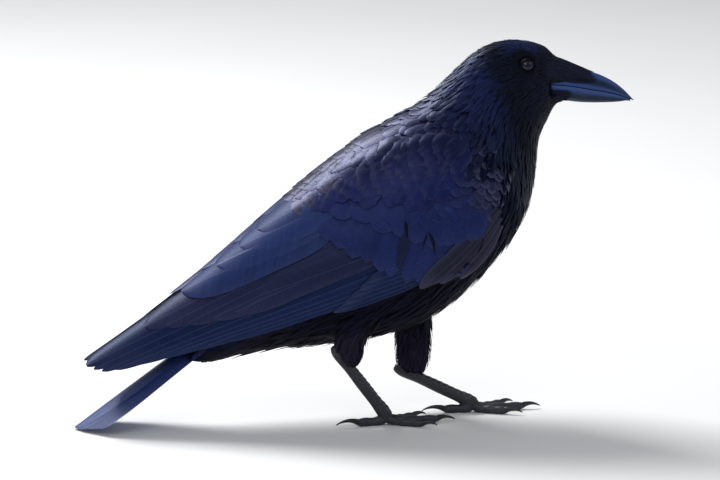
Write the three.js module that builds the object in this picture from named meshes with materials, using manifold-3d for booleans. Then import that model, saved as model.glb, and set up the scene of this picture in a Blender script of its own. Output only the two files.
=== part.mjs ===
// A carrion crow, standing in mid-stride: a still, life-size model.
// Units are millimetres. +Z is up, the bird faces +X and its left side is towards +Y.
// The origin is on the floor, under the middle of the bounding box.
import * as THREE from "three";
import { mergeVertices } from "three/addons/utils/BufferGeometryUtils.js";
import Module from "manifold-3d";

const wasm = await Module();
wasm.setup();

// ---------------------------------------------------------------- driving dimensions

const GAP = 0.3; // clearance between neighbouring solids
const FLOOR = -1.4; // height of the floor in the measurements below
const FINEST = 0.08; // detail smaller than this is merged away once a solid is cut
const SAME_POINT = 1e-4; // points closer than this are one
const SIDEWAYS = 0.35; // a limb that runs outwards more than this is turned with its run
const RIGHT = -1; // side of the body, as the sign of Y
const LEFT = 1;

const BODY_SEGMENTS = 20; // points round a section of the body
const BODY_RINGS = 28; // sections from the face to the tail coverts
const WHOLE_TURN = Math.PI * 2;

// The body's outline in side view: the top and bottom end [x, z] of each section,
// its half width, and how far up the section it is widest.
const BODY_STATIONS = [
  { name: "face", top: [146, 249.5], bottom: [146, 217.5], half: 10.5, widest: 0.45 },
  { name: "lores", top: [138, 256], bottom: [140.5, 212], half: 14, widest: 0.47 },
  { name: "brow", top: [128, 261.3], bottom: [135.5, 206], half: 17.5, widest: 0.5 },
  { name: "crown", top: [113.5, 264], bottom: [131.5, 198], half: 21, widest: 0.5 },
  { name: "hind_crown", top: [99.5, 263], bottom: [129.5, 189], half: 23.5, widest: 0.5 },
  { name: "nape", top: [86, 257.5], bottom: [129, 178], half: 26, widest: 0.48 },
  { name: "neck", top: [73, 246.5], bottom: [127.8, 166], half: 30, widest: 0.46 },
  { name: "neck_base", top: [61, 234.5], bottom: [124.8, 152], half: 37.5, widest: 0.45 },
  { name: "mantle", top: [47, 222.5], bottom: [119.3, 137], half: 45.5, widest: 0.45 },
  { name: "breast", top: [28, 213], bottom: [108, 119], half: 50.5, widest: 0.45 },
  { name: "back", top: [9, 199.5], bottom: [92.5, 101], half: 52, widest: 0.45 },
  { name: "belly", top: [-10, 181.5], bottom: [71, 80.5], half: 50, widest: 0.45 },
  { name: "loin", top: [-31, 160], bottom: [45, 65], half: 45, widest: 0.45 },
  { name: "rump", top: [-54, 134], bottom: [15, 57.5], half: 36.5, widest: 0.47 },
  { name: "vent", top: [-78, 103.5], bottom: [-18, 52.5], half: 27, widest: 0.5 },
  { name: "under_tail", top: [-101, 75], bottom: [-56, 51], half: 21.5, widest: 0.5 },
  { name: "tail_coverts", top: [-122, 55], bottom: [-98, 43.5], half: 17.5, widest: 0.5 },
];
const HEAD_NECK_STATION = 4.35; // where the head is parted from the neck
const NECK_TRUNK_STATION = 6.9; // where the neck is parted from the trunk

const EYE = { x: 118.2, y: 13, z: 247.6, radius: 6.2, detail: 2 };

// The bill: each station's height along the culmen, along the cutting edge of
// the upper half, and along the keel of the lower half, with its half width.
const BILL_SEGMENTS = 8; // faces over the culmen or round the keel
const BILL_CUT = 0.2; // half the slit between the two halves
const BILL_STATIONS = [
  { x: 132, culmen: 252, edge: 233.4, keel: 222.6, half: 9.6 },
  { x: 146, culmen: 248.2, edge: 232, keel: 220.3, half: 8.8 },
  { x: 156, culmen: 244, edge: 230.3, keel: 218.8, half: 7.4 },
  { x: 165, culmen: 240.1, edge: 228.2, keel: 218.1, half: 6.2 },
  { x: 174, culmen: 236.5, edge: 226.3, keel: 217.9, half: 5 },
  { x: 182, culmen: 232, edge: 224.2, keel: 217.9, half: 3.9 },
  { x: 188.5, culmen: 226.8, edge: 222, keel: 218.2, half: 2.7 },
  { x: 192.6, culmen: 222.6, edge: 220.2, keel: 218.7, half: 1.7 },
  { x: 195.6, culmen: 219.3, edge: 218.8, keel: 218.4, half: 0.5 },
];
const BILL_ROUNDING = 0.9; // how full the arch of its section is
const THINNEST_BILL = 0.25; // the height of either half at its tip
const LOWER_BILL_SHORTER = 2.2; // how far the lower half stops behind the hooked tip
// The pad of bristles over the root of the bill: x and the upper and lower edge at its
// root and at its tip, and how far it stands out from the bill.
const BRISTLES = {
  root: { x: 141, top: 250.5, low: 232.6 },
  tip: { x: 167, top: 236.8, low: 232 },
  proud: 1.1,
  tip_proud: 0.66,
  squareness: 0.7,
  rings: 6,
  segments: 10,
};

// The folded wing, in a frame of its own: t runs along the wing from the wrist to
// the tip, and p rises across it. Each station gives the height of the closed wings'
// ridge, of the widest line and of the lower edge, and the half width over both wings.
const WRIST = { x: 104, z: 168 };
const WING_SLOPE = THREE.MathUtils.degToRad(24.5);
const WING_TUCK = 60; // how sharply the wing turns in below its widest line
const WING_STATIONS = [
  { t: -12, top: 62, widest: 4, low: 2, half: 41 },
  { t: 2, top: 72, widest: 2, low: -6, half: 48 },
  { t: 20, top: 77, widest: -2, low: -18.5, half: 53.5 },
  { t: 36, top: 76.5, widest: -5, low: -30, half: 56 },
  { t: 54, top: 75, widest: -7, low: -37, half: 57 },
  { t: 75, top: 70.5, widest: -9, low: -39, half: 57 },
  { t: 96, top: 65, widest: -10, low: -34.5, half: 56.3 },
  { t: 120, top: 58.5, widest: -11.5, low: -30, half: 54.5 },
  { t: 146, top: 51.5, widest: -13, low: -26, half: 50.5 },
  { t: 178, top: 42.5, widest: -13, low: -19.5, half: 43.5 },
  { t: 215, top: 32.5, widest: -11, low: -15, half: 34.5 },
  { t: 250, top: 24.5, widest: -8, low: -10.5, half: 26.5 },
  { t: 285, top: 17.5, widest: -3, low: -4, half: 19 },
  { t: 316, top: 12, widest: 3, low: 2, half: 13.5 },
];
const MIDLINE = 0.6; // half the gap between the two wings where they meet
const RIDGE_MARGIN = 0.15; // how far under the ridge a feather's edge stops

// The wing's covert panel: its upper edge follows the scapulars, and its rear edge
// is where the long feathers come out from under it.
const COVERTS = {
  front: -9,
  rear: 150,
  top_front: 22,
  top_middle: 52,
  top_rear: 50,
  middle: 0.4, // where along the panel its upper edge is highest
  depth_front: 9,
  depth_rear: 2.4,
  lean: 16, // how far forwards the rear edge leans at the top
  rounded_front: 0.2, // share of the panel's length over which its front is rounded
  bluntness: 0.06, // of the front end
  upper_sink: [0.66, 5], // from this share of its height upwards, it sinks by this much
  lower_sink: [0.2, 2],
  front_sink: 5,
  rear_sink: 0.6,
  rings: 11,
  columns: 6,
};

// The long feathers. Each blade runs from [t, p] to [t, p] with the given full width,
// and lies under the wing's outer surface by its depth at the root and at the tip.
const BLADE_RINGS = 7;
const BLADE_COLUMNS = 2; // faces across a feather
const BLADE_THICK = 1.5;
const BLADE = {
  crowding: 0.72, // draws the rings together towards the tip
  root_width: 0.62, // as a share of the full width
  full_from: 0.42, // share of its length where a blade reaches its full width
  round_from: 0.86, // and where its end starts to round off
  tip_width: 0.12,
  level_from: 0.45, // and where it reaches the depth of its tip
};
const TERTIALS = [
  { from: [130, 40], to: [202, 31], width: 26, depth: [3.6, 0.2] },
  { from: [130, 23], to: [233, 28], width: 24, depth: [3.9, 1.1] },
];
const SECONDARIES = [
  { from: [134, 2], to: [204, -4], width: 22, depth: [4.2, 1.2] },
  { from: [134, 14], to: [265, 16.5], width: 21, depth: [6.2, 2.9] },
];
const PRIMARIES = [
  { from: [134, 4], to: [314, 8.5], width: 18, depth: [8.2, 4.2] },
  { from: [130, -7], to: [302, 0.5], width: 17, depth: [6.6, 2.9] },
  { from: [126, -18], to: [272, -4.5], width: 13, depth: [4.6, 1.6] },
];

// The closed tail: twelve feathers, the middle pair on top. It slopes back from its
// root, is roofed along the middle, and its tip lies at floor level.
const TAIL = {
  root: [-72, 86.5],
  tip: [-192.5, 0.6],
  pairs: 5,
  rings: 6,
  root_spread: 1.6, // sideways step from one feather to the next, at the root
  tip_spread: 4.6, // and at the tip
  shorter: 1.95, // each pair outwards is shorter than the last
  crowding: 0.6, // draws the rings together towards the tip
  root_width: 0.5, // as a share of the full width
  full_from: 0.62, // share of its length where a feather reaches its full width
  round_from: 0.88, // and where its end starts to round off
  tip_width: 0.16,
  first_step: 0.35, // how far the middle pair stands from the middle line, in steps
  first_depth: 0.15,
  camber: 0.3, // how far a feather's edges lie under its middle
  root_roof: 0.6, // share of the roofing at the root
  lower: 0.72, // each pair lies lower than the last
  width: 28,
  thick: 1.1,
  roof: 0.2, // how fast a feather falls away from the middle line
};

// The legs. The right leg trails and the left one is forward. The shin's path runs
// from the hip inside the body to the cuff of feathers that hangs over the heel.
const LEGS = [
  {
    name: "right",
    side: RIGHT,
    shin: [
      [14, 24, 94],
      [-4, 24, 69],
      [-4.5, 23, 43],
    ],
    heel: [-12.7, 23, 51.8],
    foot: [21.6, 15, 5.4],
    shin_size: [17, 15],
    cuff_size: [7.4, 6.2],
    turn: -4, // of the foot, outwards, in degrees
  },
  {
    name: "left",
    side: LEFT,
    shin: [
      [47, 24, 90],
      [46.5, 24, 55],
      [45.5, 23.5, 25.5],
    ],
    heel: [38.5, 24, 27.5],
    foot: [86.5, 13, 5.2],
    shin_size: [13.4, 12.5],
    cuff_size: [11.4, 8],
    turn: 3,
  },
];
const SHIN = { rings: 8, segments: 14, full_to: 0.35, cuff_end: 0.7 };
// The bare tarsus: the share of its length, half the depth and half the width.
const TARSUS = [
  [-0.11, 2.43, 1.8],
  [-0.07, 4.32, 3.2],
  [0, 5.4, 4],
  [0.1, 4.97, 3.6],
  [0.24, 4, 2.9],
  [0.5, 4.3, 3],
  [0.78, 4.3, 3],
  [0.92, 4.9, 4.1],
  [1, 4.51, 4.1],
  [1.06, 2.94, 2.87],
];
const TARSUS_SEGMENTS = 10;
const ANKLE_RISE = 1.4; // how far above the foot joint the tarsus is parted from the foot
const TOE_LEVEL = 2.7; // height of a toe's centre line over the floor, which cuts the sole flat
// Toes: the direction from straight ahead in degrees, outwards being positive, the
// length to the claw's root, and the radius at the root and at the last joint.
const TOES = [
  { name: "hallux", angle: 176, length: 20, root: 3.5, end: 2.9, claw: 17 },
  { name: "inner", angle: -27, length: 24, root: 3.2, end: 2.6, claw: 13 },
  { name: "middle", angle: 2, length: 36, root: 3.4, end: 2.7, claw: 13.5 },
  { name: "outer", angle: 29, length: 26.5, root: 3.2, end: 2.5, claw: 11.5 },
];
const TOE = {
  drop: 2.2, // how far under the foot joint a toe starts
  joints: 3,
  swell: 1.05, // of the pads between the joints
  neck: 0.93, // of the joints themselves
  end: 0.8,
  level_from: 0.31, // share of its length from which a toe lies level
  segments: 8,
};
const CLAW = {
  root: 2.2, // radius
  tip: 0.45,
  taper: 0.9,
  slim: 0.78, // its width, as a share of its depth
  gap: 1.2, // between the end of the toe and the root of the claw
  bend: THREE.MathUtils.degToRad(58), // from root to tip
  lifted: 0.45, // share of the bend by which it first points upwards
  clear: 0.05, // between its lowest point and the floor
  rings: 5,
  segments: 6,
};

// ---------------------------------------------------------------- materials

const paint = (color, roughness) => new THREE.MeshStandardMaterial({ color, roughness });
const plumage = paint(0x14151f, 0.6);
const wingGloss = paint(0x171a30, 0.45);
const tailGloss = paint(0x1a1d31, 0.45);
const shinFeathers = paint(0x100f14, 0.75);
const billHorn = paint(0x23262f, 0.35);
const eyeball = paint(0x0c0807, 0.08);
const legScales = paint(0x1d1c20, 0.55);
const clawHorn = paint(0x131216, 0.35);

// ---------------------------------------------------------------- curves and lofts

const mix = (a, b, f) => a + (b - a) * f;

// Reads one value of a list of stations at any place, smoothly and without overshoot
// of more than a cubic's.
function reading(stations, place, key) {
  const at = stations.map((s) => s[place]);
  const value = stations.map((s) => s[key]);
  const slope = value.map((v, i) => {
    const a = Math.max(0, i - 1);
    const b = Math.min(at.length - 1, i + 1);
    return (value[b] - value[a]) / (at[b] - at[a]);
  });
  return (t) => {
    let i = 0;
    while (i < at.length - 2 && t > at[i + 1]) i += 1;
    const span = at[i + 1] - at[i];
    const f = THREE.MathUtils.clamp((t - at[i]) / span, 0, 1);
    const g = f * f * (3 - 2 * f);
    const rise = f * (1 - f) * (1 - f) * slope[i] - f * f * (1 - f) * slope[i + 1];
    return mix(value[i], value[i + 1], g) + rise * span;
  };
}

// A closed body through rings of points. A round section is closed by a fan over each
// end. A flat one is a row of outer points and the same number of inner ones, in
// reverse, and is closed by a strip between the two rows.
function loft(rings, flat = false) {
  const count = rings[0].length;
  const points = rings.flat();
  const end = (rings.length - 1) * count;
  const faces = [];
  for (let j = 0; j < count; j += 1) {
    const k = (j + 1) % count;
    for (let i = 0; i < rings.length - 1; i += 1) {
      const a = i * count;
      const b = a + count;
      faces.push(a + j, b + j, b + k, a + j, b + k, a + k);
    }
  }
  const middle = (ring) =>
    ring.reduce((sum, p) => sum.add(p), new THREE.Vector3()).divideScalar(count);
  if (flat) {
    for (let j = 0; j < count / 2 - 1; j += 1) {
      const [a, b, c, d] = [j, j + 1, count - 2 - j, count - 1 - j];
      faces.push(a, b, c, a, c, d);
      faces.push(end + c, end + b, end + a, end + d, end + c, end + a);
    }
  } else {
    const first = points.push(middle(rings[0])) - 1;
    const last = points.push(middle(rings[rings.length - 1])) - 1;
    for (let j = 0; j < count; j += 1) {
      const k = (j + 1) % count;
      faces.push(first, j, k, last, end + k, end + j);
    }
  }
  return solidFrom(points, faces);
}

// A manifold solid from points and triangles, turned to face outwards.
function solidFrom(points, faces) {
  const geometry = new THREE.BufferGeometry().setFromPoints(points);
  geometry.setIndex(faces);
  const merged = mergeVertices(geometry, SAME_POINT);
  const position = merged.attributes.position.array;
  const index = new Uint32Array(merged.index.array);
  let volume = 0;
  const [a, b, c] = [new THREE.Vector3(), new THREE.Vector3(), new THREE.Vector3()];
  for (let i = 0; i < index.length; i += 3) {
    [a, b, c].forEach((v, n) => v.fromArray(position, index[i + n] * 3));
    volume += a.dot(b.cross(c));
  }
  if (volume < 0)
    for (let i = 0; i < index.length; i += 3)
      [index[i + 1], index[i + 2]] = [index[i + 2], index[i + 1]];
  const mesh = new wasm.Mesh({ numProp: 3, vertProperties: position, triVerts: index });
  return new wasm.Manifold(mesh);
}

const joined = (solids) => solids.reduce((sum, s) => sum.add(s));
const cutBy = (solid, cutters) => cutters.reduce((rest, c) => rest.subtract(c), solid);

// The largest body of a solid that a cut has left in several bodies.
function largest(solid) {
  const bodies = solid.decompose();
  return bodies.reduce((best, s) => (s.volume() > best.volume() ? s : best));
}

function meshOf(name, solid, material) {
  const { vertProperties, triVerts, numProp } = solid.getMesh();
  const position = new Float32Array((vertProperties.length / numProp) * 3);
  for (let i = 0; i * 3 < position.length; i += 1)
    position.set(vertProperties.subarray(i * numProp, i * numProp + 3), i * 3);
  const geometry = new THREE.BufferGeometry();
  geometry.setAttribute("position", new THREE.BufferAttribute(position, 3));
  geometry.setIndex(new THREE.BufferAttribute(new Uint32Array(triVerts), 1));
  geometry.computeVertexNormals();
  const mesh = new THREE.Mesh(geometry, material);
  mesh.name = name;
  return mesh;
}

// A round or flattened limb through [centre, half depth, half width] stations. The
// depth lies in the plane of the limb's path and the width across it.
function limb(stations, segments, grow = 0) {
  const centres = stations.map((s) => s[0]);
  const rings = stations.map(([centre, depth, width], i) => {
    const before = centres[Math.max(0, i - 1)];
    const after = centres[Math.min(centres.length - 1, i + 1)];
    const along = after.clone().sub(before).normalize();
    const across = new THREE.Vector3(0, 1, 0);
    if (Math.abs(along.y) > SIDEWAYS) across.set(-along.y, along.x, 0).normalize();
    const deep = along.clone().cross(across).normalize();
    across.copy(deep).cross(along).normalize();
    return Array.from({ length: segments }, (_, j) => {
      const turn = (j / segments) * WHOLE_TURN;
      return centre
        .clone()
        .addScaledVector(deep, Math.cos(turn) * (depth + grow))
        .addScaledVector(across, Math.sin(turn) * (width + grow));
    });
  });
  return loft(rings);
}

// ---------------------------------------------------------------- head, neck and trunk

const curveOf = (key) =>
  new THREE.CatmullRomCurve3(
    BODY_STATIONS.map((s) => new THREE.Vector3(s[key][0], 0, s[key][1])),
  );
const topLine = curveOf("top");
const bottomLine = curveOf("bottom");
const numbered = BODY_STATIONS.map((s, i) => ({ ...s, place: i }));
const bodyHalf = reading(numbered, "place", "half");
const bodyWidest = reading(numbered, "place", "widest");
const lastStation = BODY_STATIONS.length - 1;

// The section of the body at a station number, which may fall between two.
function bodySection(place, grow = 0) {
  const top = topLine.getPoint(place / lastStation);
  const bottom = bottomLine.getPoint(place / lastStation);
  const up = top.clone().sub(bottom);
  const height = up.length();
  up.divideScalar(height);
  const middle = height * bodyWidest(place);
  return Array.from({ length: BODY_SEGMENTS }, (_, j) => {
    const turn = (j / BODY_SEGMENTS) * WHOLE_TURN;
    const rise = Math.cos(turn);
    const reach = (rise > 0 ? height - middle : middle) + grow;
    return bottom
      .clone()
      .addScaledVector(up, middle + rise * reach)
      .add(new THREE.Vector3(0, Math.sin(turn) * (bodyHalf(place) + grow), 0));
  });
}

function bodySolid(grow = 0) {
  const rings = Array.from({ length: BODY_RINGS }, (_, i) =>
    bodySection((i / (BODY_RINGS - 1)) * lastStation, grow),
  );
  return loft(rings);
}

// The solid's part on the far side, along the body from face to tail, of a section.
function parted(solid, place, towardsTail) {
  const top = topLine.getPoint(place / lastStation);
  const bottom = bottomLine.getPoint(place / lastStation);
  const up = top.clone().sub(bottom).normalize();
  const normal = new THREE.Vector3(-up.z, 0, up.x); // towards the tail
  if (!towardsTail) normal.negate();
  const offset = normal.dot(top) + GAP / 2;
  return solid.trimByPlane(normal.toArray(), offset);
}

// The stiff bristles that lie forwards from the forehead over the root of the bill.
function bristlePad() {
  const { root, tip, proud, tip_proud, squareness, segments } = BRISTLES;
  const rings = Array.from({ length: BRISTLES.rings }, (_, i) => {
    const f = i / (BRISTLES.rings - 1);
    const [x, top, low] = ["x", "top", "low"].map((key) => mix(root[key], tip[key], f));
    const half = billHalf(x) + mix(proud, tip_proud, f);
    return Array.from({ length: segments }, (_, j) => {
      const turn = (j / segments) * WHOLE_TURN;
      const rise = ((top - low) / 2) * Math.cos(turn);
      const side = Math.sign(Math.sin(turn)) * Math.abs(Math.sin(turn)) ** squareness;
      return new THREE.Vector3(x, half * side, (top + low) / 2 + rise);
    });
  });
  return loft(rings);
}

// ---------------------------------------------------------------- bill and eyes

const billHalf = reading(BILL_STATIONS, "x", "half");

// One half of the bill. The upper half is a rounded roof over the cutting edge, and
// the lower half a rounded keel under it.
function billHalfSolid(upper, grow = 0) {
  const stations = BILL_STATIONS.map((s) => {
    const far = upper ? s.culmen : s.keel;
    const near = s.edge + (upper ? BILL_CUT : -BILL_CUT);
    return { x: s.x - (upper ? 0 : LOWER_BILL_SHORTER), far, near, half: s.half };
  });
  const away = upper ? 1 : -1;
  const rings = stations.map(({ x, far, near, half }, i) => {
    const reach = Math.max(Math.abs(far - near), THINNEST_BILL) + 2 * grow;
    const end = i === 0 ? -grow : i === stations.length - 1 ? grow : 0;
    return Array.from({ length: BILL_SEGMENTS + 1 }, (_, j) => {
      const turn = (j / BILL_SEGMENTS - 0.5) * Math.PI;
      const height = reach * Math.max(0, Math.cos(turn)) ** BILL_ROUNDING;
      const across = Math.sin(turn) * (half + grow);
      return new THREE.Vector3(x + end, across, near + away * (height - grow));
    });
  });
  return loft(rings);
}

function eyeSolid(side, grow = 0) {
  const ball = new THREE.IcosahedronGeometry(EYE.radius + grow, EYE.detail);
  ball.translate(EYE.x, side * EYE.y, EYE.z);
  ball.deleteAttribute("normal");
  ball.deleteAttribute("uv");
  const { index, attributes } = mergeVertices(ball, SAME_POINT);
  const points = Array.from({ length: attributes.position.count }, (_, i) =>
    new THREE.Vector3().fromBufferAttribute(attributes.position, i),
  );
  return solidFrom(points, Array.from(index.array));
}

// ---------------------------------------------------------------- wings

const wingTop = reading(WING_STATIONS, "t", "top");
const wingWidest = reading(WING_STATIONS, "t", "widest");
const wingLow = reading(WING_STATIONS, "t", "low");
const wingHalf = reading(WING_STATIONS, "t", "half");

// A point on the outer surface of a folded wing, or inside it by a depth.
function wingPoint(side, t, p, depth = 0) {
  const outer = (pp) => {
    const rise = pp - wingWidest(t);
    const reach = rise > 0 ? wingTop(t) - wingWidest(t) : WING_TUCK;
    const f = Math.min(Math.abs(rise) / reach, 1);
    return wingHalf(t) * Math.sqrt(1 - f * f);
  };
  const slope = outer(p + 0.5) - outer(p - 0.5);
  const size = Math.hypot(1, slope);
  const y = Math.max(outer(p) - depth / size, MIDLINE);
  const level = p + (depth * slope) / size;
  return new THREE.Vector3(
    WRIST.x - Math.cos(WING_SLOPE) * t - Math.sin(WING_SLOPE) * level,
    side * y,
    WRIST.z - Math.sin(WING_SLOPE) * t + Math.cos(WING_SLOPE) * level,
  );
}

// A closed sheet over the wing between two edges, thick from its outer depth inwards.
function wingSheet(side, rows, columns, edge, outerDepth, innerDepth) {
  const rings = rows.map((row) => {
    const outer = [];
    const inner = [];
    for (let j = 0; j <= columns; j += 1) {
      const across = j / columns;
      const [t, p] = edge(row, across);
      outer.push(wingPoint(side, t, p, outerDepth(row, across)));
      inner.push(wingPoint(side, t, p, innerDepth(row, across)));
    }
    return [...outer, ...inner.reverse()];
  });
  return loft(rings, true);
}

function covertPanel(side, grow = 0) {
  const { front, rear, top_front, top_middle, top_rear, middle } = COVERTS;
  const { rounded_front, bluntness, upper_sink, lower_sink } = COVERTS;
  const rows = Array.from({ length: COVERTS.rings }, (_, i) => i / (COVERTS.rings - 1));
  const towardsFront = (f) => Math.max(0, 1 - f / rounded_front);
  const upperEdge = (f) =>
    f < middle
      ? mix(top_front, top_middle, f / middle)
      : mix(top_middle, top_rear, (f - middle) / (1 - middle));
  const edge = (f, across) => {
    const t = mix(front, rear, f);
    const [low, high] = [wingLow(t), upperEdge(f)];
    const ends = Math.sqrt(Math.min(1, 1 - towardsFront(f) ** 2 + bluntness));
    const half = ((high - low) / 2) * ends + grow;
    const beyond = f === 1 ? grow : f === 0 ? -grow : 0;
    const lean = across * COVERTS.lean * f;
    return [t - lean + beyond, (high + low) / 2 + (2 * across - 1) * half];
  };
  // The upper edge and the front sink into the plumage, and the lower edge rounds in.
  const outer = (f, across) => {
    const above = Math.max(0, (across - upper_sink[0]) / (1 - upper_sink[0])) ** 2;
    const below = Math.max(0, 1 - across / lower_sink[0]) ** 2;
    const edges = upper_sink[1] * above * (1 - f / 2) + lower_sink[1] * below;
    const ends = COVERTS.front_sink * towardsFront(f) ** 2 + COVERTS.rear_sink * f ** 3;
    return edges + ends - grow;
  };
  const inner = (f) => mix(COVERTS.depth_front, COVERTS.depth_rear, f) + grow;
  return wingSheet(side, rows, COVERTS.columns, edge, outer, inner);
}

// A feather's width along it, as a share: narrow at the root and rounded at the tip.
function shareOfWidth(f, { root_width, full_from, round_from, tip_width }) {
  const past = Math.max(0, (f - round_from) / (1 - round_from));
  const rounded = Math.sqrt(Math.max(0, 1 - past ** 2));
  return mix(root_width, 1, Math.min(1, f / full_from)) * Math.max(rounded, tip_width);
}

// A long feather of the wing.
function blade(side, { from, to, width, depth }, grow = 0) {
  const rows = Array.from(
    { length: BLADE_RINGS },
    (_, i) => (i / (BLADE_RINGS - 1)) ** BLADE.crowding,
  );
  const edge = (f, across) => {
    const t = mix(from[0] - grow, to[0] + grow, f);
    const p = mix(from[1], to[1], f);
    const full = (width / 2) * shareOfWidth(f, BLADE) + grow;
    return [t, Math.min(p + (2 * across - 1) * full, wingTop(t) - RIDGE_MARGIN)];
  };
  const level = (f) => mix(depth[0], depth[1], Math.min(1, f / BLADE.level_from));
  const outer = (f) => level(f) - grow;
  const inner = (f) => level(f) + BLADE_THICK + grow;
  return wingSheet(side, rows, BLADE_COLUMNS, edge, outer, inner);
}

// ---------------------------------------------------------------- tail

// One tail feather. Pair 0 is the middle one, on top.
function rectrix(side, pair, grow = 0) {
  const root = new THREE.Vector3(TAIL.root[0], 0, TAIL.root[1]);
  const tip = new THREE.Vector3(TAIL.tip[0], 0, TAIL.tip[1]);
  const along = tip.clone().sub(root);
  const length = along.length() - TAIL.shorter * pair;
  along.normalize();
  const up = new THREE.Vector3(along.z, 0, -along.x);
  const rows = Array.from(
    { length: TAIL.rings },
    (_, i) => (i / (TAIL.rings - 1)) ** TAIL.crowding,
  );
  const rings = rows.map((f) => {
    const half = (TAIL.width / 2) * shareOfWidth(f, TAIL) + grow;
    const centre = (pair + TAIL.first_step) * mix(TAIL.root_spread, TAIL.tip_spread, f);
    const sink = pair * TAIL.lower + TAIL.first_depth;
    const place = (offset, below) => {
      const y = Math.max(centre + offset, 0) * side;
      const fall = TAIL.roof * Math.abs(y) * mix(TAIL.root_roof, 1, f);
      return root
        .clone()
        .addScaledVector(along, length * f + (f === 1 ? grow : 0))
        .addScaledVector(up, -(sink + fall + below))
        .add(new THREE.Vector3(0, y, 0));
    };
    const outer = [-1, 0, 1].map((c) => place(c * half, TAIL.camber * Math.abs(c) - grow));
    const inner = [1, 0, -1].map((c) => place(c * half, TAIL.thick + grow));
    return [...outer, ...inner];
  });
  return loft(rings, true);
}

function tailSolid(grow = 0) {
  const feathers = [];
  for (let pair = 0; pair < TAIL.pairs; pair += 1)
    for (const side of [RIGHT, LEFT]) feathers.push(rectrix(side, pair, grow));
  return joined(feathers);
}

// ---------------------------------------------------------------- legs

const onSide = (side, [x, y, z]) => new THREE.Vector3(x, side * y, z);

// The feathered shin, from inside the body to its cuff just above the heel.
function shinSolid({ side, shin, shin_size, cuff_size }) {
  const path = new THREE.CatmullRomCurve3(shin.map((p) => onSide(side, p)));
  const stations = Array.from({ length: SHIN.rings }, (_, i) => {
    const f = i / (SHIN.rings - 1);
    const fade = Math.max(0, (f - SHIN.full_to) / (1 - SHIN.full_to));
    const close = f === 1 ? SHIN.cuff_end : 1;
    const [deep, wide] = [0, 1].map((k) => mix(shin_size[k], cuff_size[k], fade) * close);
    return [path.getPoint(f), deep, wide];
  });
  return limb(stations, SHIN.segments);
}

// The bare tarsus, from the knob of the heel down to the toes.
function tarsusSolid({ side, heel, foot }, grow = 0) {
  const top = onSide(side, heel);
  const end = onSide(side, foot);
  const stations = TARSUS.map(([f, deep, wide]) => [top.clone().lerp(end, f), deep, wide]);
  return limb(stations, TARSUS_SEGMENTS, grow);
}

// The unit vector along a toe, level with the floor.
function toeDirection(leg, angle) {
  const turned = THREE.MathUtils.degToRad(angle + leg.turn);
  return new THREE.Vector3(Math.cos(turned), leg.side * Math.sin(turned), 0);
}

function toeSolid(leg, toe) {
  const start = onSide(leg.side, leg.foot);
  const along = toeDirection(leg, toe.angle);
  start.z -= TOE.drop;
  const steps = TOE.joints * 2;
  const stations = Array.from({ length: steps + 1 }, (_, i) => {
    const f = i / steps;
    const pad = i % 2 ? TOE.swell : TOE.neck;
    const radius = mix(toe.root, toe.end, f) * (i ? pad : 1) * (f === 1 ? TOE.end : 1);
    const level = mix(start.z, FLOOR + TOE_LEVEL, Math.min(1, f / TOE.level_from));
    const centre = start.clone().addScaledVector(along, toe.length * f).setZ(level);
    return [centre, radius, radius];
  });
  return limb(stations, TOE.segments);
}

// The four toes, the pad under them and the ankle, cut flat where they rest.
function footSolid(leg) {
  const toes = TOES.map((toe) => toeSolid(leg, toe));
  return joined([...toes, tarsusSolid(leg)])
    .trimByPlane([0, 0, 1], FLOOR)
    .trimByPlane([0, 0, -1], -(leg.foot[2] + ANKLE_RISE - GAP));
}

function clawSolid(leg, toe) {
  const along = toeDirection(leg, toe.angle);
  const start = onSide(leg.side, leg.foot)
    .addScaledVector(along, toe.length + CLAW.gap)
    .setZ(FLOOR + TOE_LEVEL);
  const arc = toe.claw / CLAW.bend; // radius of the claw's arc
  const lift = CLAW.bend * CLAW.lifted;
  const stations = Array.from({ length: CLAW.rings }, (_, i) => {
    const f = i / (CLAW.rings - 1);
    const turn = lift - CLAW.bend * f;
    const forward = arc * (Math.sin(lift) - Math.sin(turn));
    const rise = arc * (Math.cos(turn) - Math.cos(lift));
    const radius = mix(CLAW.root, CLAW.tip, f ** CLAW.taper);
    const centre = start.clone().addScaledVector(along, forward);
    centre.z = Math.max(centre.z + rise, FLOOR + radius + CLAW.clear);
    return [centre, radius, radius * CLAW.slim];
  });
  return limb(stations, CLAW.segments);
}

// ---------------------------------------------------------------- assembly

const model = new THREE.Group();
function add(name, solid, material) {
  const whole = largest(largest(solid).simplify(FINEST));
  model.add(meshOf(name, whole, material));
}

const bodyGrown = bodySolid(GAP);
const billGrown = [billHalfSolid(true, GAP), billHalfSolid(false, GAP)];
const eyesGrown = [RIGHT, LEFT].map((side) => eyeSolid(side, GAP));

const body = bodySolid();
const headWhole = parted(body, HEAD_NECK_STATION, false).add(bristlePad());
add("head", cutBy(headWhole, [...billGrown, ...eyesGrown]), plumage);
const behindHead = parted(body, HEAD_NECK_STATION, true);
add("neck", parted(behindHead, NECK_TRUNK_STATION, false), plumage);
add("trunk", parted(behindHead, NECK_TRUNK_STATION, true), plumage);
add("bill_upper", billHalfSolid(true), billHorn);
add("bill_lower", billHalfSolid(false), billHorn);
add("eye_right", eyeSolid(RIGHT), eyeball);
add("eye_left", eyeSolid(LEFT), eyeball);

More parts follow.
